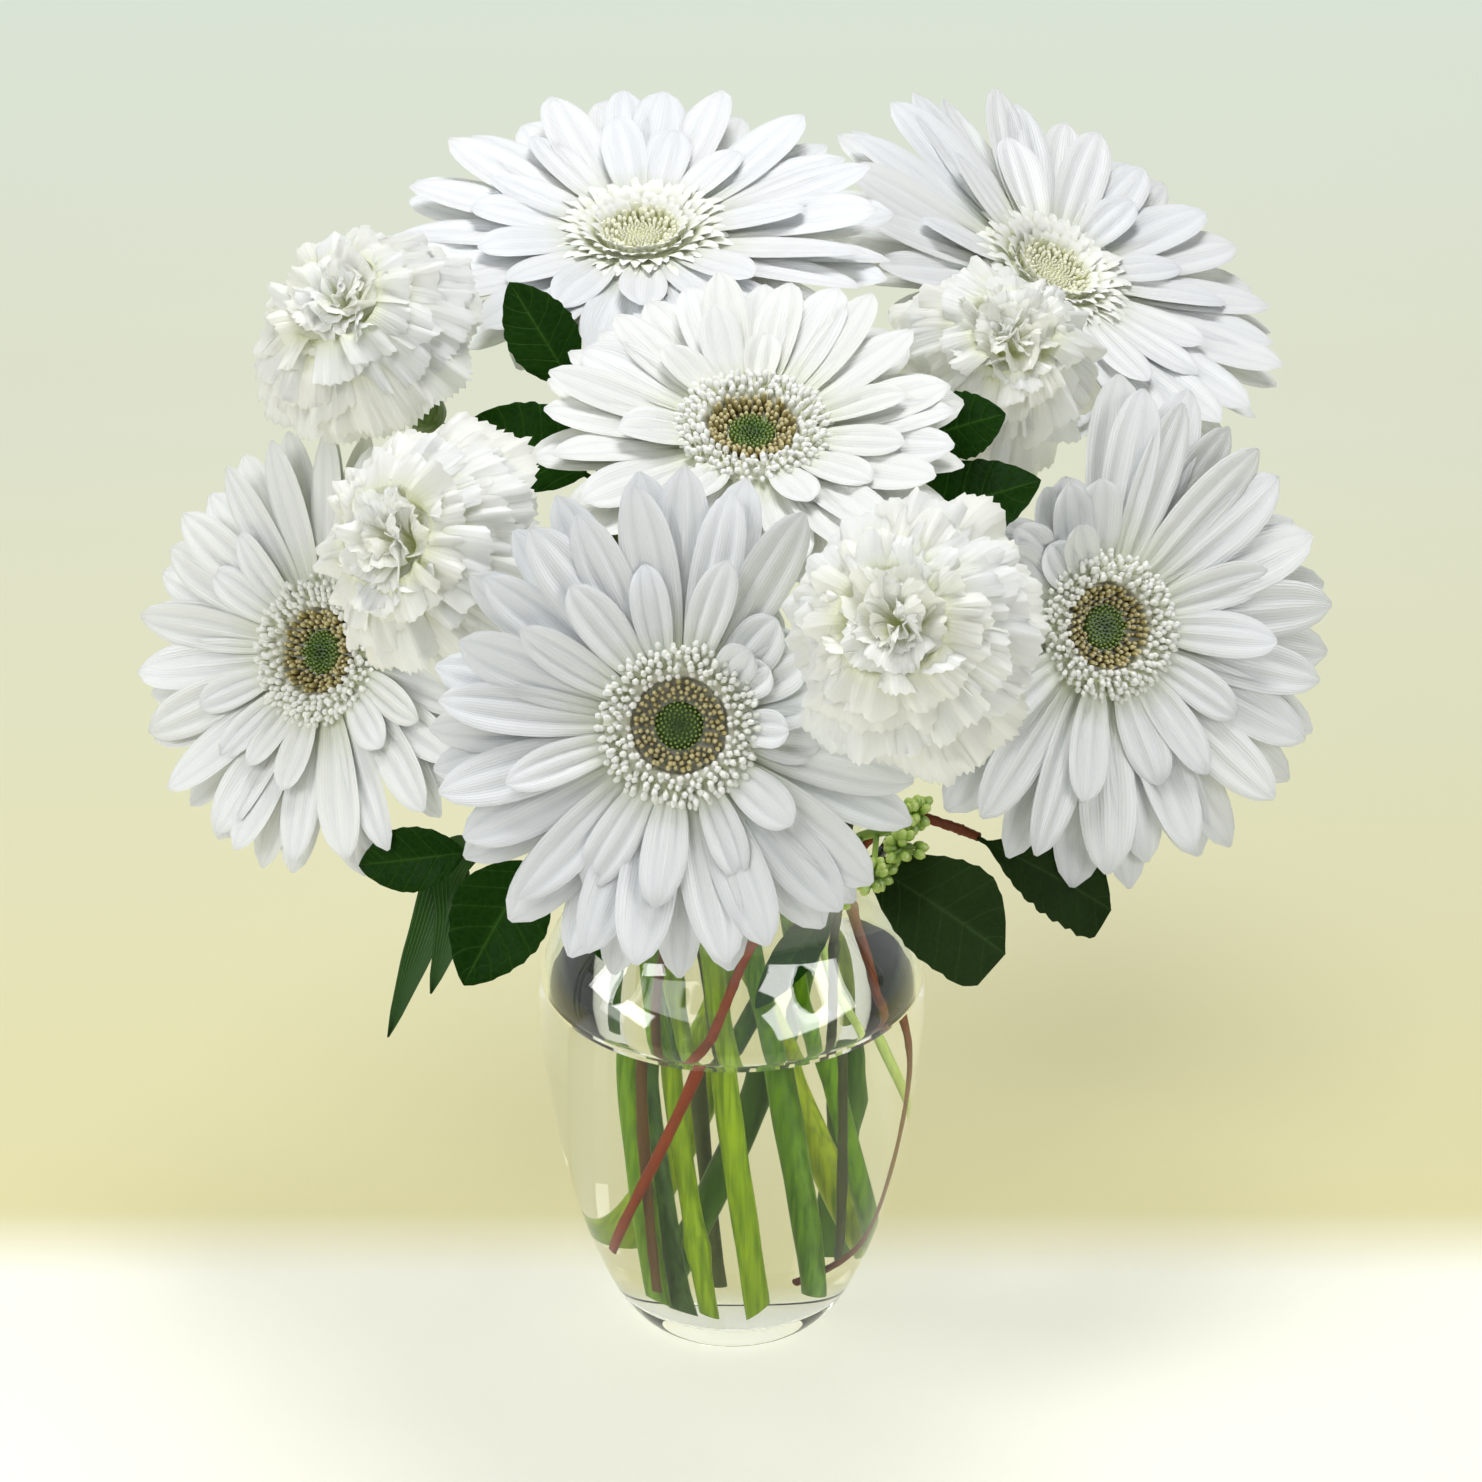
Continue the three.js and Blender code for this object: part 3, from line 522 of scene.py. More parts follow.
def leaf_material(name, dark, light, vein, rough):
    """A blotched leaf with a midrib, slanted side veins and a fine net between them."""
    s = Shader(name)
    across, along, _ = s.note()
    side = s.math("ABSOLUTE", across)
    slanted = s.math("SUBTRACT", along, s.math("MULTIPLY", side, 0.17))
    rib = s.math("ABSOLUTE", s.math("SINE", s.math("MULTIPLY", slanted, math.pi * 7)))
    ribs = s.math("POWER", s.math("SUBTRACT", 1.0, rib), 9.0)
    middle = s.math("POWER", s.math("SUBTRACT", 1.0, s.math("MINIMUM", side, 1.0)), 34.0)
    net = s.node("TexVoronoi", feature="DISTANCE_TO_EDGE")
    net.inputs["Scale"].default_value = 420
    s.join(s.node("TexCoord").outputs["Object"], net.inputs["Vector"])
    mesh = s.math("SUBTRACT", 0.2, s.math("MINIMUM", net.outputs["Distance"], 0.2))
    strength = s.math("ADD", s.math("MULTIPLY", ribs, 0.5), s.math("MULTIPLY", middle, 0.85))
    strength = s.math("MINIMUM", s.math("ADD", strength, s.math("MULTIPLY", mesh, 0.5)), 1.0)
    base = s.mix("MIX", s.noise(55, 4), dark, light)
    s.colour(s.mix("MIX", strength, base, vein))
    s.set(Roughness=rough, Specular_IOR_Level=0.02)
    height = s.math("ADD", s.math("MULTIPLY", ribs, -1.0), s.math("MULTIPLY", mesh, -2.0))
    s.bump(s.math("ADD", height, s.math("MULTIPLY", s.noise(300), 0.6)), 0.22, 0.7)
    return s.material


LEAF = leaf_material("leaf", (0.004, 0.022, 0.002), (0.012, 0.05, 0.004), (0.04, 0.11, 0.015), 0.38)
DULL_LEAF = leaf_material("dull_leaf", (0.012, 0.03, 0.006), (0.026, 0.055, 0.013), (0.045, 0.085, 0.025), 0.6)


def strap_material():
    s = Shader("strap_leaf")
    grain = lines(s, s.note()[0], 5)
    base = s.mix("MIX", s.noise(40), (0.014, 0.055, 0.008), (0.04, 0.12, 0.016))
    s.colour(s.mix("MIX", s.math("MULTIPLY", grain, 0.35), base, (0.07, 0.17, 0.035)))
    s.set(Roughness=0.42, Specular_IOR_Level=0.1)
    s.bump(grain, 0.15, 0.6)
    return s.material


STRAP = strap_material()


def twig_material():
    s = Shader("twig")
    base = s.ramp(s.note()[0], [
        (0, (0.025, 0.02, 0.008)), (0.25, (0.09, 0.12, 0.025)),
        (0.5, (0.11, 0.038, 0.008)), (1, (0.26, 0.034, 0.001)),
    ])
    blotch = s.noise(260, 5)
    s.colour(s.mix("MULTIPLY", s.math("MULTIPLY", blotch, 0.8), base, (0.45, 0.4, 0.35)))
    s.set(Roughness=0.5, Specular_IOR_Level=0.15)
    s.bump(s.noise(1500, 4), 0.3, 0.7)
    return s.material


TWIG = twig_material()
BUD = floret_material(
    "filler_bud", [(0, (0.12, 0.22, 0.03)), (0.5, (0.3, 0.46, 0.06)), (1, (0.5, 0.62, 0.16))], 0.5,
)


def clear_material(name, tint, ior, passed):
    """Glass or water that lets light through to what stands in it."""
    s = Shader(name)
    s.set(Roughness=0.0, IOR=ior, Transmission_Weight=1.0)
    s.bsdf.inputs["Base Color"].default_value = (*tint, 1)
    open_way = s.node("BsdfTransparent")
    open_way.inputs[0].default_value = (*passed, 1)
    mixed = s.node("MixShader")
    s.join(s.node("LightPath").outputs["Is Shadow Ray"], mixed.inputs[0])
    s.join(s.bsdf.outputs[0], mixed.inputs[1])
    s.join(open_way.outputs[0], mixed.inputs[2])
    s.join(mixed.outputs[0], s.output.inputs["Surface"])
    return s.material


def seam_material():
    """Where the water touches the glass, nothing shows."""
    s = Shader("water_seam")
    s.set(Alpha=0.0, Roughness=0.0, Transmission_Weight=1.0, IOR=1.0)
    return s.material


GLASS = clear_material("vase_glass", (0.965, 0.985, 0.955), 1.5, (0.94, 0.96, 0.93))
WET_GLASS = clear_material("wet_glass", (0.965, 0.98, 0.945), 1.333, (0.94, 0.96, 0.93))
GLASS_BED = clear_material("glass_bed", (0.95, 0.97, 0.94), 1.12, (0.97, 0.98, 0.95))
WATER = clear_material("water", (0.975, 0.985, 0.94), 1.25, (0.97, 0.98, 0.94))
SEAM = seam_material()


# ---------- gerberas ----------

def stem_path(bloom, depth):
    """The way of a stem, from behind its bloom in a bend to the vase's neck, then straight to its foot."""
    back = -unit(bloom["faces"])
    start = np.array(bloom["at"]) + back * depth
    middle = np.array([*bloom["neck"], NECK_HEIGHT], float)
    end = np.array(bloom["foot"], float)
    down = unit(end - middle)
    pull = np.linalg.norm(middle - start) * 0.4
    a, b, c, d = start, start + back * pull, middle - down * pull, middle
    t = np.linspace(0, 1, 26)[:, None]
    bend = a * (1 - t) ** 3 + b * 3 * t * (1 - t) ** 2 + c * 3 * t * t * (1 - t) + d * t ** 3
    straight = middle + (end - middle) * np.linspace(0, 1, 16)[1:, None]
    return np.concatenate([bend, straight])


def ray_grid(length, width, rise, droop, roll, sway, hollow):
    """One white ray along +X: two grooves, three low ribs, a rounded point."""
    s = np.linspace(0, 1, 14)[:, None] ** 0.85
    t = np.linspace(-1, 1, 11)[None, :]
    swell = 0.4 + 0.6 * np.sin(np.minimum(s / 0.6, 1) * math.pi / 2)
    taper = np.maximum(1 - (np.maximum(s - 0.6, 0) / 0.402) ** 2.3, 0.0) ** 0.6
    half = width / 2 * swell * taper + 0.22
    rib = np.sin(np.minimum(s * 1.06, 1) * math.pi) ** 0.6
    z = rise * s ** 1.4 - droop * s ** 4 + hollow * (t * t - 0.4) * rib
    for groove in (-0.36, 0.36):
        z = z - 1.2 * rib * np.exp(-(((t - groove) / 0.19) ** 2))
    turn = roll * s
    x = s * length + 0 * t
    y = half * t * np.cos(turn) + sway * s * s
    z = z + half * t * np.sin(turn)
    return np.stack([x, y, z], -1)


def held_back(bloom, place, angle):
    """Whether the ray at this angle lies behind a neighbour that presses on it."""
    if "pressed" not in bloom:
        return False
    x, y, _ = place.into(bloom["pressed"])
    return math.cos(math.atan2(y, x) - angle) > math.cos(PRESSED_ANGLE)


def add_rays(form, bloom, place, rng):
    rows = [
        # count, level, first turn, share of the reach, share of the cup, width, unevenness
        (23, -1.8, 0.5, 1.0, 0.42, 13.0, 0.03),
        (22, 0.4, 0.0, 0.95, 0.95, 12.6, 0.04),
        (15, 2.0, 0.3, 0.66, 1.2, 9.8, 0.2),
    ]
    s, t = np.meshgrid(np.linspace(0, 1, 14) ** 0.85, np.linspace(-1, 1, 11), indexing="ij")
    for count, level, first, share, cup, width, uneven in rows:
        for i in range(count):
            angle = 2 * math.pi * (i + first + rng.uniform(-0.3, 0.3)) / count
            reach = bloom["reach"] * (PRESSED_SHARE if held_back(bloom, place, angle) else 1)
            if share < 0.9 and rng.random() < 0.2:
                continue
            grid = ray_grid(
                (reach * share - RAY_ROOT) * (1 + rng.uniform(-uneven, uneven)),
                width * bloom["broad"] * bloom["reach"] / 60 * rng.uniform(0.86, 1.08),
                bloom["cup"] * cup * share + rng.uniform(-1.6, 1.6),
                rng.uniform(0.6, 4.4), rng.uniform(-0.32, 0.32), rng.uniform(-1.8, 1.8), rng.uniform(-0.6, 1.0),
            )
            grid = grid + np.array([RAY_ROOT, 0, level])
            chance = np.full_like(s, bloom["cool"] + rng.uniform(-0.2, 0.2))
            shell(form, turn_z(grid, angle), np.stack([t, s, chance], -1), 0.5, 0, place)


def floret(height, lean, thick, bead):
    """A small curled tube from the origin, leaning towards +X, with a bead at its tip."""
    u = np.linspace(0, 1, 5)
    bend = lean * u ** 1.3
    steps = np.stack([np.sin(bend), 0 * u, np.cos(bend)], 1) * height / 4
    path = np.concatenate([[[0, 0, 0]], np.cumsum(steps[1:], axis=0)])
    radii = thick * np.array([0.75, 0.8, 0.85, bead, bead * 0.55])
    points, faces = sweep(path, radii, FLORET_SIDES)
    return points, faces, np.repeat(u, FLORET_SIDES)


def stamp_florets(form, place, rng, rings, slot):
    """Rings of florets: (radius, count, height, lean, thickness, bead, level)."""
    for radius, count, height, lean, thick, bead, level in rings:
        for i in range(count):
            angle = 2 * math.pi * (i + rng.uniform(-0.3, 0.3)) / count + radius
            points, faces, along = floret(
                height * rng.uniform(0.8, 1.2), lean * rng.uniform(0.6, 1.3), thick * rng.uniform(0.85, 1.15), bead,
            )
            points = turn_z(points + np.array([radius * rng.uniform(0.97, 1.03), 0, level]), angle)
            notes = np.stack([0 * along, along, np.full_like(along, rng.random())], 1)
            form.add(place.out(points), faces, notes, slot)


def add_crown(form, place, rng):
    """Flat toothed florets that stand in rings round a young disc."""
    s, t = np.meshgrid(np.linspace(0, 1, 6), np.linspace(-1, 1, 3), indexing="ij")
    for radius, count, height, lean in (
        (9.8, 30, 4.6, 0.15), (11.8, 34, 5.6, 0.35), (14, 38, 6.6, 0.6), (16.2, 42, 7.2, 0.85), (18, 42, 7.0, 1.15),
    ):
        for i in range(count):
            angle = 2 * math.pi * (i + rng.uniform(-0.3, 0.3)) / count
            tall = height * rng.uniform(0.75, 1.15)
            tilt = lean * rng.uniform(0.8, 1.2) + 0.5 * s
            half = 1.9 * (1 - 0.75 * s ** 3)
            grid = np.stack([
                radius + tall * s * np.sin(tilt), half * t, 1.2 + tall * s * np.cos(tilt) + 0.3 * t * t,
            ], -1)
            chance = np.full_like(s, rng.random())
            shell(form, turn_z(grid, angle), np.stack([t, s, chance], -1), 0.35, 1, place)


def make_gerbera(n, bloom):
    rng = np.random.default_rng(GERBERA_SEED + n)
    name = f"gerbera_{n + 1}"
    place = Place(bloom["at"], bloom["faces"])
    young = n in YOUNG
    rays = Form()
    add_rays(rays, bloom, place, rng)
    lathe(rays, [
        (0, -6.5), (12.5, -4.6), (18, -0.2), (17.4, 1.1), (14, 1.7), (11.6, 1.5), (10.9, -1.2), (0, -1.2),
    ], 40, (0, 0.42, 0.5), 1, place)
    if young:
        add_crown(rays, place, rng)
    else:
        stamp_florets(rays, place, rng, [
            (11.6, 32, 3.8, 0.3, 0.6, 1.45, 0.6), (12.8, 36, 3.9, 0.5, 0.6, 1.45, 0.9),
            (14.0, 40, 3.9, 0.7, 0.6, 1.45, 1.1), (15.2, 44, 3.9, 0.9, 0.6, 1.45, 1.2),
            (16.4, 46, 3.7, 1.1, 0.6, 1.45, 1.1), (17.4, 46, 3.3, 1.3, 0.58, 1.45, 0.8),
        ], 1)
    rays.build(f"{name}_ray_florets", [WHITE_PETAL, WHITE_FLORET], [f"{name}_rays"])

    ring = Form()
    stamp_florets(ring, place, rng, [
        (6.5, 24, 2.4, 0.1, 0.6, 1.1, -1.2), (7.6, 28, 3.0, 0.12, 0.62, 1.15, -1.2),
        (8.7, 31, 3.7, 0.15, 0.64, 1.15, -1.2), (9.8, 34, 4.4, 0.2, 0.66, 1.15, -1.2),
    ], 0)
    material = PALE_FLORET if young else BROWN_FLORET
    ring.build(f"{name}_disc_ring", [material], [f"{name}_florets"])

    eye = Form()
    for k in range(EYE_BUDS):
        radius = 5.7 * math.sqrt((k + 0.5) / EYE_BUDS)
        points, faces, along = floret(1.5, 0.15, 0.36, 1.0)
        level = -0.9 + 1.1 * math.sin(min(radius / 3.6, 1) * math.pi / 2)
        points = turn_z(points + np.array([radius, 0, level - 0.4]), k * GOLDEN_ANGLE)
        shade = 1.0 if young else min(radius / 5.0, 1) * 0.9
        notes = np.stack([0 * along, np.full_like(along, shade) - 0.3 * (1 - along), np.full_like(along, 0.5)], 1)
        eye.add(place.out(points), faces, notes)
    seat = [(0, -1.3), (5.6, -1.3), (5.6, -0.6), (3.6, 0.0), (0, -0.7)]
    lathe(eye, seat, 24, (0, 0.3, 0.5), 0, place)
    eye.build(f"{name}_green_centre", [PALE_FLORET if young else EYE], [f"{name}_eye"])

    stem = Form()
    path = stem_path(bloom, 17)
    swell = 1 + 0.03 * np.sin(np.arange(len(path)) * 1.7 + n)
    bar(stem, path, 2.9 * swell, 14, bloom["tone"], bloom["slant"])
    lathe(stem, [
        (0, -19.5), (3.2, -19), (5.5, -15.8), (8.6, -12.4), (11.4, -8.8), (12.4, -6.0), (11.6, -5.6), (0, -6.9),
    ], 32, (0.75, 0.3, 0.5), 0, place)
    s, t = np.meshgrid(np.linspace(0, 1, 7), np.linspace(-1, 1, 3), indexing="ij")
    for row, (low, r0, r1, size) in enumerate(((-15.5, 5.9, 12.6, 24), (-12, 9.2, 13.6, 26))):
        for i in range(size):
            half = 0.95 * np.sqrt(np.maximum(1 - s ** 2.2, 0.02))
            bow = 0.9 * np.sin(s * math.pi)
            grid = np.stack([
                r0 + (r1 - r0) * s + bow + 0.3 * (1 - t * t), half * t, low + (-5.4 - low) * s ** 1.1,
            ], -1)
            angle = 2 * math.pi * (i + 0.5 * row) / size
            notes = np.stack([np.full_like(s, 0.75), s, np.full_like(s, rng.random())], -1)
            shell(stem, turn_z(grid, angle), notes, 0.5, 0, place)
    stem.build(f"{name}_stalk", [STEM], [f"{name}_stem"])


# ---------- carnations ----------

def carnation_petal(form, place, rng, angle, size, root, share, top, draped, ruffle, wide, columns):
    """A fan-shaped petal from the calyx, draped over the head's dome or upright, with a toothed, frilled rim."""
    s = np.linspace(0, 1, 15)[:, None] ** 0.75
    t = np.linspace(-1, 1, columns)[None, :]
    teeth = np.where(np.arange(columns) % 2, 0.0, 1.0) * rng.uniform(0.3, 1.3, columns)
    edge = 1 - 0.12 * t * t + 0.04 * np.sin(t * 3.1 + rng.uniform(0, 6)) - 0.028 * teeth * s ** 8
    along = np.minimum(s * edge, 1.04)
    reach = size * share
    r = root + (reach - root) * along ** (1.05 if draped else 1.9)
    if draped:
        dome = 20.5 - 24 * (r / size) ** 2.4
        rise = np.clip(along / 0.55, 0, 1)
        rise = rise * rise * (3 - 2 * rise)
        z = -14 + (dome - top - 2.5 * (1 - along) + 14) * rise
    else:
        z = -14 + (top + 14) * (1 - np.maximum(1 - along, 0) ** 2.1)
    z = z + 0.7 * t * s
    half = wide * size / 33 * (0.14 + 0.86 * s ** 0.8)
    theta = angle + half * t / np.maximum(r, 5.0)
    grid = np.stack([r * np.cos(theta), r * np.sin(theta), z], -1)
    normal = unit(np.cross(np.gradient(grid, axis=0), np.gradient(grid, axis=1)))
    phase = rng.uniform(0, 6.3, 5)
    wave = np.sin(t * 2.7 + phase[0] + 1.2 * s) + 0.6 * np.sin(t * 5.6 + phase[1] - 1.5 * s)
    frill = 0.6 * np.sin(t * 9 + phase[2]) + 0.4 * np.sin(t * 15 + phase[3]) + 0.25 * np.sin(t * 24 + phase[4])
    frill = (1.05 * s ** 3.4 if draped else 0.55 * s ** 5) * frill
    grid = grid + normal * (ruffle * ((0.8 if draped else 1) * s ** 1.8 * wave + frill))[..., None]
    notes = np.stack(np.broadcast_arrays(t, s, rng.random()), -1)
    shell(form, grid, notes, 0.3, 0, place)


def make_carnation(n, bloom):
    rng = np.random.default_rng(CARNATION_SEED + n)
    name = f"carnation_{n + 1}"
    place = Place(bloom["at"], bloom["faces"])
    head = Form()
    tiers = [
        # petals, root, share of the reach, how far the rim sinks below the dome if draped, or its height if
        # not, draped, ruffle, half width, points across
        (7, 3.0, 0.98, 5.2, True, 1.5, 20, 43),
        (7, 3.0, 0.92, 3.4, True, 1.7, 19, 41),
        (7, 3.0, 0.81, 1.8, True, 1.9, 17, 37),
        (6, 3.0, 0.66, 0.2, True, 2.1, 15, 33),
        (6, 0.7, 0.54, 16.5, False, 2.4, 11.5, 29),
        (5, 0.7, 0.4, 19.5, False, 2.7, 9.5, 25),
        (5, 0.7, 0.27, 21.0, False, 2.5, 7.5, 21),
        (4, 0.7, 0.15, 20.5, False, 1.7, 5.5, 17),
    ]
    for k, (count, root, share, top, draped, ruffle, wide, columns) in enumerate(tiers):
        for i in range(count):
            angle = 2 * math.pi * (i + 0.37 * k + rng.uniform(-0.25, 0.25)) / count
            carnation_petal(
                head, place, rng, angle, bloom["reach"], root,
                share * rng.uniform(0.93, 1.02), top + rng.uniform(-0.8, 0.8), draped,
                ruffle * rng.uniform(0.8, 1.25), wide * rng.uniform(0.9, 1.1), columns,
            )
    head.build(f"{name}_ruffles", [CREAM_PETAL], [f"{name}_petals"])
    stem = Form()
    path = stem_path(bloom, 41)
    radii = 2.2 + 0.8 * np.exp(-((((np.arange(len(path)) + 3 * n) % 9 - 4) / 0.7) ** 2))
    bar(stem, path, radii, 12, bloom["tone"], 1.2)
    lathe(stem, [
        (0, -43), (3.4, -42.4), (5, -40), (6.2, -34), (6.7, -26), (7, -17), (6.6, -15.4), (0, -15.2),
    ], 24, (0.95, 0.3, 0.5), 0, place)
    s, t = np.meshgrid(np.linspace(0, 1, 7), np.linspace(-1, 1, 5), indexing="ij")
    for i in range(5):
        half = 3.8 * np.sqrt(np.maximum(1 - s ** 2, 0.01))
        grid = np.stack([7.0 + 1.2 * s - 0.06 * half * half * t * t, half * t, -24 + 9.5 * s], -1)
        shell(stem, turn_z(grid, 2 * math.pi * i / 5), np.stack([0 * s + 0.95, s, 0 * s], -1), 0.5, 0, place)
    stem.build(f"{name}_stalk", [STEM], [f"{name}_stem"])


# ---------- leaves, twigs and filler ----------

def leaf_half_widths(shape, s):
    """Half widths to the left and right along a pointed leaf, or along one with a blunt, cut end."""
    if shape == "ovate":
        body = np.sin(np.clip((s - 0.1) / 0.9, 0, 1) ** 0.85 * math.pi) ** 0.75 * 0.5
        return body, body
    near = np.sin(np.clip((s - 0.06) / 0.62, 0, 1) * math.pi / 2) ** 0.9 * 0.5
    left = near * np.where(s > 0.68, 1 - ((s - 0.68) / 0.32) ** 2 * 0.86, 1)
    right = near * np.where(s > 0.86, 1 - ((s - 0.86) / 0.14) ** 2 * 0.2, 1)
    return left, right


def make_leaf(curve, leaf, rng):
    point, along_twig = at_share(curve, leaf["on"])
    tip = np.array(leaf["tip"], float)
    outward = tip - point
    outward = unit(outward - along_twig * np.dot(outward, along_twig))
    seat = point + outward * 1.2
    along = tip - seat
    facing = np.array(leaf["faces"], float)
    facing = unit(facing - along * np.dot(facing, along) / np.dot(along, along))
    side = unit(np.cross(facing, along))
    n, m = 31, 13
    s = np.linspace(0, 1, n)
    t = np.linspace(-1, 1, m)
    left, right = leaf_half_widths(leaf["shape"], s)
    teeth = 1 + 0.02 * np.sin(s * 60 + rng.uniform(0, 6)) + 0.012 * np.sin(s * 133)
    if leaf["shape"] == "blunt":
        teeth = teeth - 0.05 * np.where(np.arange(n) % 3, 0, 1) * rng.uniform(0.2, 1.2, n)
    left = np.maximum(left * leaf["width"] * teeth, 0.6)
    right = np.maximum(right * leaf["width"] * teeth, 0.6)
    if leaf["shape"] == "ovate":
        left[-1] = right[-1] = 0.15
    ss, tt = np.meshgrid(s, t, indexing="ij")
    half = np.where(tt > 0, left[:, None], right[:, None])
    across = half * tt
    curl = np.sin(ss * 9 + rng.uniform(0, 6)) * 0.5 * np.sign(tt)
    lift = leaf["bend"] * np.sin(math.pi * ss) + 0.16 * np.abs(across) + curl * tt * tt
    veins = 0.16 * np.sin((ss - 0.17 * np.abs(tt)) * math.pi * 14) * np.minimum(np.abs(tt) * 2, 1)
    reach = ss - (0.0 if leaf["shape"] == "ovate" else 0.03) * np.abs(tt) * ss
    grid = seat + along * reach[..., None] + side * across[..., None] + facing * (lift + veins)[..., None]
    notes = np.stack([tt, ss, np.full_like(ss, rng.random())], -1)
    form = Form()
    shell(form, grid[:, ::-1], notes[:, ::-1], 0.6)
    material = DULL_LEAF if leaf["shape"] == "blunt" else LEAF
    form.build(f"leaf_blade_{leaf['n']}", [material], [f"leaf_{leaf['n']}"])


def make_sprig(sprig):
    rng = np.random.default_rng(SPRIG_SEED + sprig["leaves"][0]["n"])
    curve = catmull(sprig["dry"], 12)
    whole = catmull(sprig["dry"] + sprig["wet"], 14)
    form = Form()
    knots = 1 + 0.22 * np.exp(-(((np.arange(len(whole)) % 17) - 8) / 0.9) ** 2)
    knots = knots + 0.05 * rng.standard_normal(len(whole))
    bar(form, whole, 1.25 * knots, 10, sprig["tone"])
    form.build(f"{sprig['name']}_bark", [TWIG], [sprig["name"]])
    for leaf in sprig["leaves"]:
        make_leaf(curve, leaf, rng)
    return curve


def make_strap(curve):
    root, _ = at_share(curve, 0.1)
    form = Form()
    facing = unit((-0.3, -0.9, 0.3))
    for n, tip in enumerate(STRAP_TIPS):
        top, tip = np.array(STRAP_TOP, float), np.array(tip, float)
        middle = (top + tip) / 2 + np.array([2.0 if n else 0, 1.5 if n else 3, 0])
        path = catmull([root + np.array([-1.0, 1.3, -0.6]), top, middle, tip], 9)
        s = np.linspace(0, 1, len(path))
        t = np.linspace(-1, 1, 7)
        tangent = unit(np.gradient(path, axis=0))
        across = unit(np.cross(facing, tangent))
        half = 5.3 * np.interp(s, [0, 0.25, 0.5, 0.75, 0.93, 1], [0.16, 0.85, 1, 0.72, 0.3, 0.03])
        hollow = facing * (1.1 * (1 - t * t))[None, :, None]
        grid = path[:, None] + across[:, None] * (half[:, None] * t)[..., None] - hollow
        notes = np.stack(np.broadcast_arrays(t[None, :], s[:, None], 0.5), -1)
        shell(form, grid[:, ::-1], notes[:, ::-1], 0.5)
    form.build("strap_leaf_blades", [STRAP], ["strap_leaf"])


def make_filler():
    rng = np.random.default_rng(FILLER_SEED)
    form = Form()
    whole = catmull(FILLER_DRY + FILLER_WET, 12)
    bar(form, whole, 1.2, 10, 0.5)
    stalk = catmull(FILLER_DRY, 12)
    for n, heart in enumerate(FILLER_SPRAYS):
        heart = np.array(heart, float)
        start, _ = at_share(stalk, 0.06 + 0.12 * n)
        bar(form, np.linspace(start, heart, 6), 0.75, 8, 0.4)
        for i in range(26):
            away = unit(rng.standard_normal(3) * np.array([1, 0.8, 1]))
            tip = heart + away * rng.uniform(2.2, 5.0)
            bar(form, np.linspace(heart, tip, 4), 0.35, 5, 0.4)
            grow = np.linspace(-1, 1, 7)
            path = tip + away * grow[:, None] * 1.7
            points, faces = sweep(path, 1.25 * np.sqrt(np.maximum(1 - grow ** 2, 0.02)), 8)
            along = np.repeat((grow + 1) / 2, 8)
            notes = np.stack([0 * along, along, np.full_like(along, rng.random())], 1)
            form.add(points, faces, notes)
    form.build("filler_bud_spray", [BUD], ["filler_spray"])


# ---------- vase and water ----------

def inset(outline, distance):
    """The outline, moved towards the axis by a distance."""
    p = np.array(outline)
    d = unit(np.gradient(p, axis=0))
    return [(r - distance * dz, z + distance * dr) for (r, z), (dr, dz) in zip(p, d)]


def make_vase(outside):
    inside = [(r, z) for r, z in inset(outside, VASE_WALL) if z > BED_TOP]
    lip = [(41.9, 144), (41.8, 145.2), (41.1, 145.9), (40.2, 145.9), (39.5, 145.2)]
    bed = [
        (27.5, VASE_FLOOR + 3.2), (25, VASE_FLOOR + 1.6), (21, VASE_FLOOR + 0.5), (14, VASE_FLOOR), (0, VASE_FLOOR),
    ]
    foot = [(0, 1.0), (14, 0.9), (19, 0.45), (21, 0.2)]
    form = Form()
    lathe(form, foot + outside + lip + inside[::-1] + bed, VASE_SIDES)
    dry, wet, unseen, under_water = range(4)
    first_wall = 1 + (len(foot) - 1) * VASE_SIDES
    first_inside = first_wall + (len(outside) + len(lip)) * VASE_SIDES
    for k, face in enumerate(form.faces):
        height = form.points[0][face, 2].mean()
        if min(face) < first_wall - VASE_SIDES:
            form.slots[k] = unseen
        elif min(face) < first_inside:
            form.slots[k] = wet if height < WATER_LEVEL + 1 else dry
        elif height < WATER_LEVEL:
            form.slots[k] = unseen if height > BED_TOP else under_water
    form.build("vase_of_glass", [GLASS, WET_GLASS, SEAM, GLASS_BED], ["vase"])


def make_water(outside):
    """Water that just enters the glass round it and climbs it a little at the top."""
    wall = [(r, z) for r, z in inset(outside, VASE_WALL - 0.12) if BED_TOP < z < WATER_LEVEL]
    below = [
        (0, VASE_FLOOR - 0.12), (14, VASE_FLOOR - 0.12), (21, VASE_FLOOR + 0.38), (25, VASE_FLOOR + 1.5),
        (27.6, VASE_FLOOR + 3.1),
    ]
    edge = wall[-1][0]
    climb = [
        (edge - 0.45, WATER_LEVEL + 1.0), (edge - 0.8, WATER_LEVEL + 0.65), (edge - 1.6, WATER_LEVEL + 0.28),
        (edge - 3, WATER_LEVEL + 0.05),
    ]
    form = Form()
    lathe(form, below + wall + climb + [(edge - 8, WATER_LEVEL), (0, WATER_LEVEL)], VASE_SIDES)
    surface, unseen = range(2)
    first_surface = 1 + (len(below + wall) - 1) * VASE_SIDES
    form.slots = [unseen if min(face) < first_surface else surface for face in form.faces]
    form.build("water_in_vase", [WATER, SEAM], ["water"])


# ---------- the object ----------

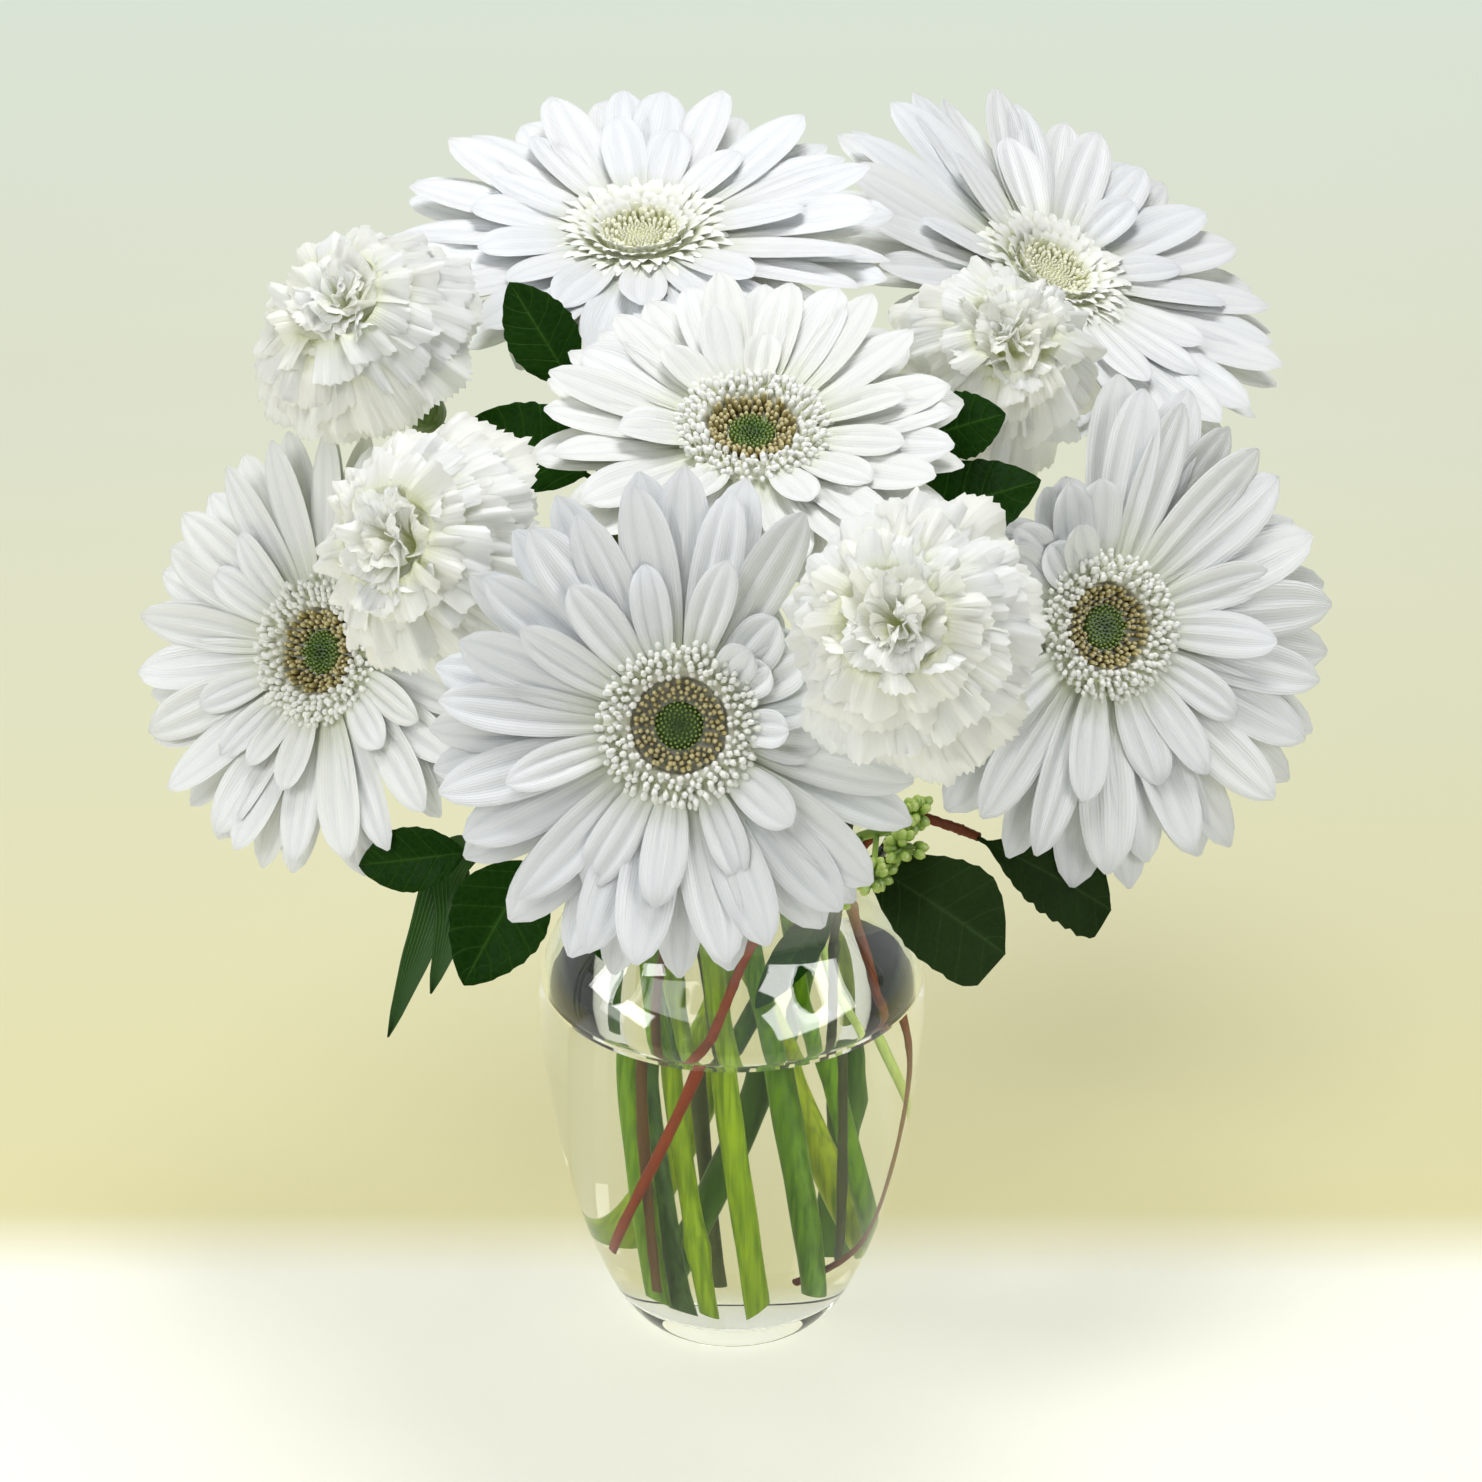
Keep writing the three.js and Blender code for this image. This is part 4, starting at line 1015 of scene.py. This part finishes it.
for n, bloom in enumerate(GERBERAS):
    make_gerbera(n, bloom)
for n, bloom in enumerate(CARNATIONS):
    make_carnation(n, bloom)
curves = {sprig["name"]: make_sprig(sprig) for sprig in SPRIGS}
make_strap(curves["brown_twig"])
make_filler()
vase_outside = [(r, z) for r, _, z in catmull([(r, 0, z) for r, z in VASE_OUTSIDE + [(41.2, 142.6)]], 7)]
make_vase(vase_outside)
make_water(vase_outside)


# ---------- floor, light and camera ----------

def floor_material():
    """Pale, nearly white under the vase and softly yellow, then grey-green, further back."""
    s = Shader("floor")
    split = s.node("SeparateXYZ")
    s.join(s.node("TexCoord").outputs["Object"], split.inputs[0])
    far = s.math("MULTIPLY", s.math("ADD", split.outputs[1], 0.1), 1 / 1.2)
    near, back = 0.092, 0.118
    tint = s.ramp(far, [
        (near, (0.99, 0.98, 0.86)), (back, (0.79, 0.74, 0.415)), (0.35, (0.755, 0.755, 0.525)),
        (0.55, (0.735, 0.755, 0.595)), (1, (0.7, 0.77, 0.67)),
    ])
    s.colour(s.mix("MULTIPLY", 1.0, tint, s.ramp(far, [(near, grey(0.74)), (back, grey(0.4))])))
    s.join(tint, s.bsdf.inputs["Emission Color"])
    lift = s.ramp(far, [(near, grey(0.44)), (back, grey(0.645)), (0.6, grey(0.705)), (1, grey(0.8))])
    s.join(lift, s.bsdf.inputs["Emission Strength"])
    s.set(Roughness=0.9, Specular_IOR_Level=0.1)
    s.bump(s.noise(60, 2), 0.1, 0.1)
    return s.material


FLOOR_HALF = 15
CORNERS = [(-1, -1), (1, -1), (1, 1), (-1, 1)]
mesh = bpy.data.meshes.new("floor")
mesh.from_pydata([(x * FLOOR_HALF, y * FLOOR_HALF, 0) for x, y in CORNERS], [], [(0, 1, 2, 3)])
mesh.materials.append(floor_material())
floor = bpy.data.objects.new("floor", mesh)
bpy.context.scene.collection.objects.link(floor)

world = bpy.data.worlds.new("studio")
bpy.context.scene.world = world
world.use_nodes = True
background = world.node_tree.nodes["Background"]
background.inputs[0].default_value = (0.9, 0.95, 0.93, 1)
ray_kind = world.node_tree.nodes.new("ShaderNodeLightPath")
strength = world.node_tree.nodes.new("ShaderNodeMapRange")
strength.inputs["To Min"].default_value = 0.55  # as gloss, glass and the camera see it
strength.inputs["To Max"].default_value = 0.14  # as it lights the scene
world.node_tree.links.new(ray_kind.outputs["Is Diffuse Ray"], strength.inputs["Value"])
world.node_tree.links.new(strength.outputs["Result"], background.inputs[1])


def softbox(name, at, towards, size, power, glint_only=False):
    """A soft rectangular lamp, which may be seen by gloss and glass alone."""
    light = bpy.data.lights.new(name, "AREA")
    light.shape = "RECTANGLE"
    light.size, light.size_y = size
    light.energy = power
    lamp = bpy.data.objects.new(name, light)
    lamp.location = at
    lamp.rotation_mode = "QUATERNION"
    lamp.rotation_quaternion = (Vector(towards) - Vector(at)).to_track_quat("-Z", "Y")
    lamp.visible_diffuse = not glint_only
    bpy.context.scene.collection.objects.link(lamp)


softbox("key", (-0.75, -0.8, 1.25), (0, 0, 0.2), (0.9, 0.9), 7)
softbox("left", (-0.95, -0.25, 0.5), (0, 0, 0.12), (0.3, 0.5), 1.2)
softbox("right", (0.82, -0.6, 0.66), (0, 0, 0.12), (0.36, 0.42), 1.1)
softbox("top", (0.05, 0.25, 1.5), (0, 0.05, 0.2), (0.6, 0.6), 12.5)
softbox("left_glint", (-0.96, -0.26, 0.5), (0, 0, 0.12), (0.9, 0.24), 6, True)
softbox("right_glint", (0.8, -0.6, 0.66), (0, 0, 0.12), (1.1, 0.6), 15, True)

ELEVATION = math.radians(27.5)
DISTANCE = 1.13
TARGET = Vector((0.0023, 0, 0.1671))
camera = bpy.data.objects.new("camera", bpy.data.cameras.new("camera"))
camera.data.lens = 110
camera.data.sensor_width = 36
camera.data.clip_end = 50
camera.location = TARGET + Vector((0, -math.cos(ELEVATION), math.sin(ELEVATION))) * DISTANCE
camera.rotation_euler = (math.radians(90) - ELEVATION, 0, 0)
bpy.context.scene.collection.objects.link(camera)
bpy.context.scene.camera = camera
bpy.context.scene.view_settings.view_transform = "Standard"
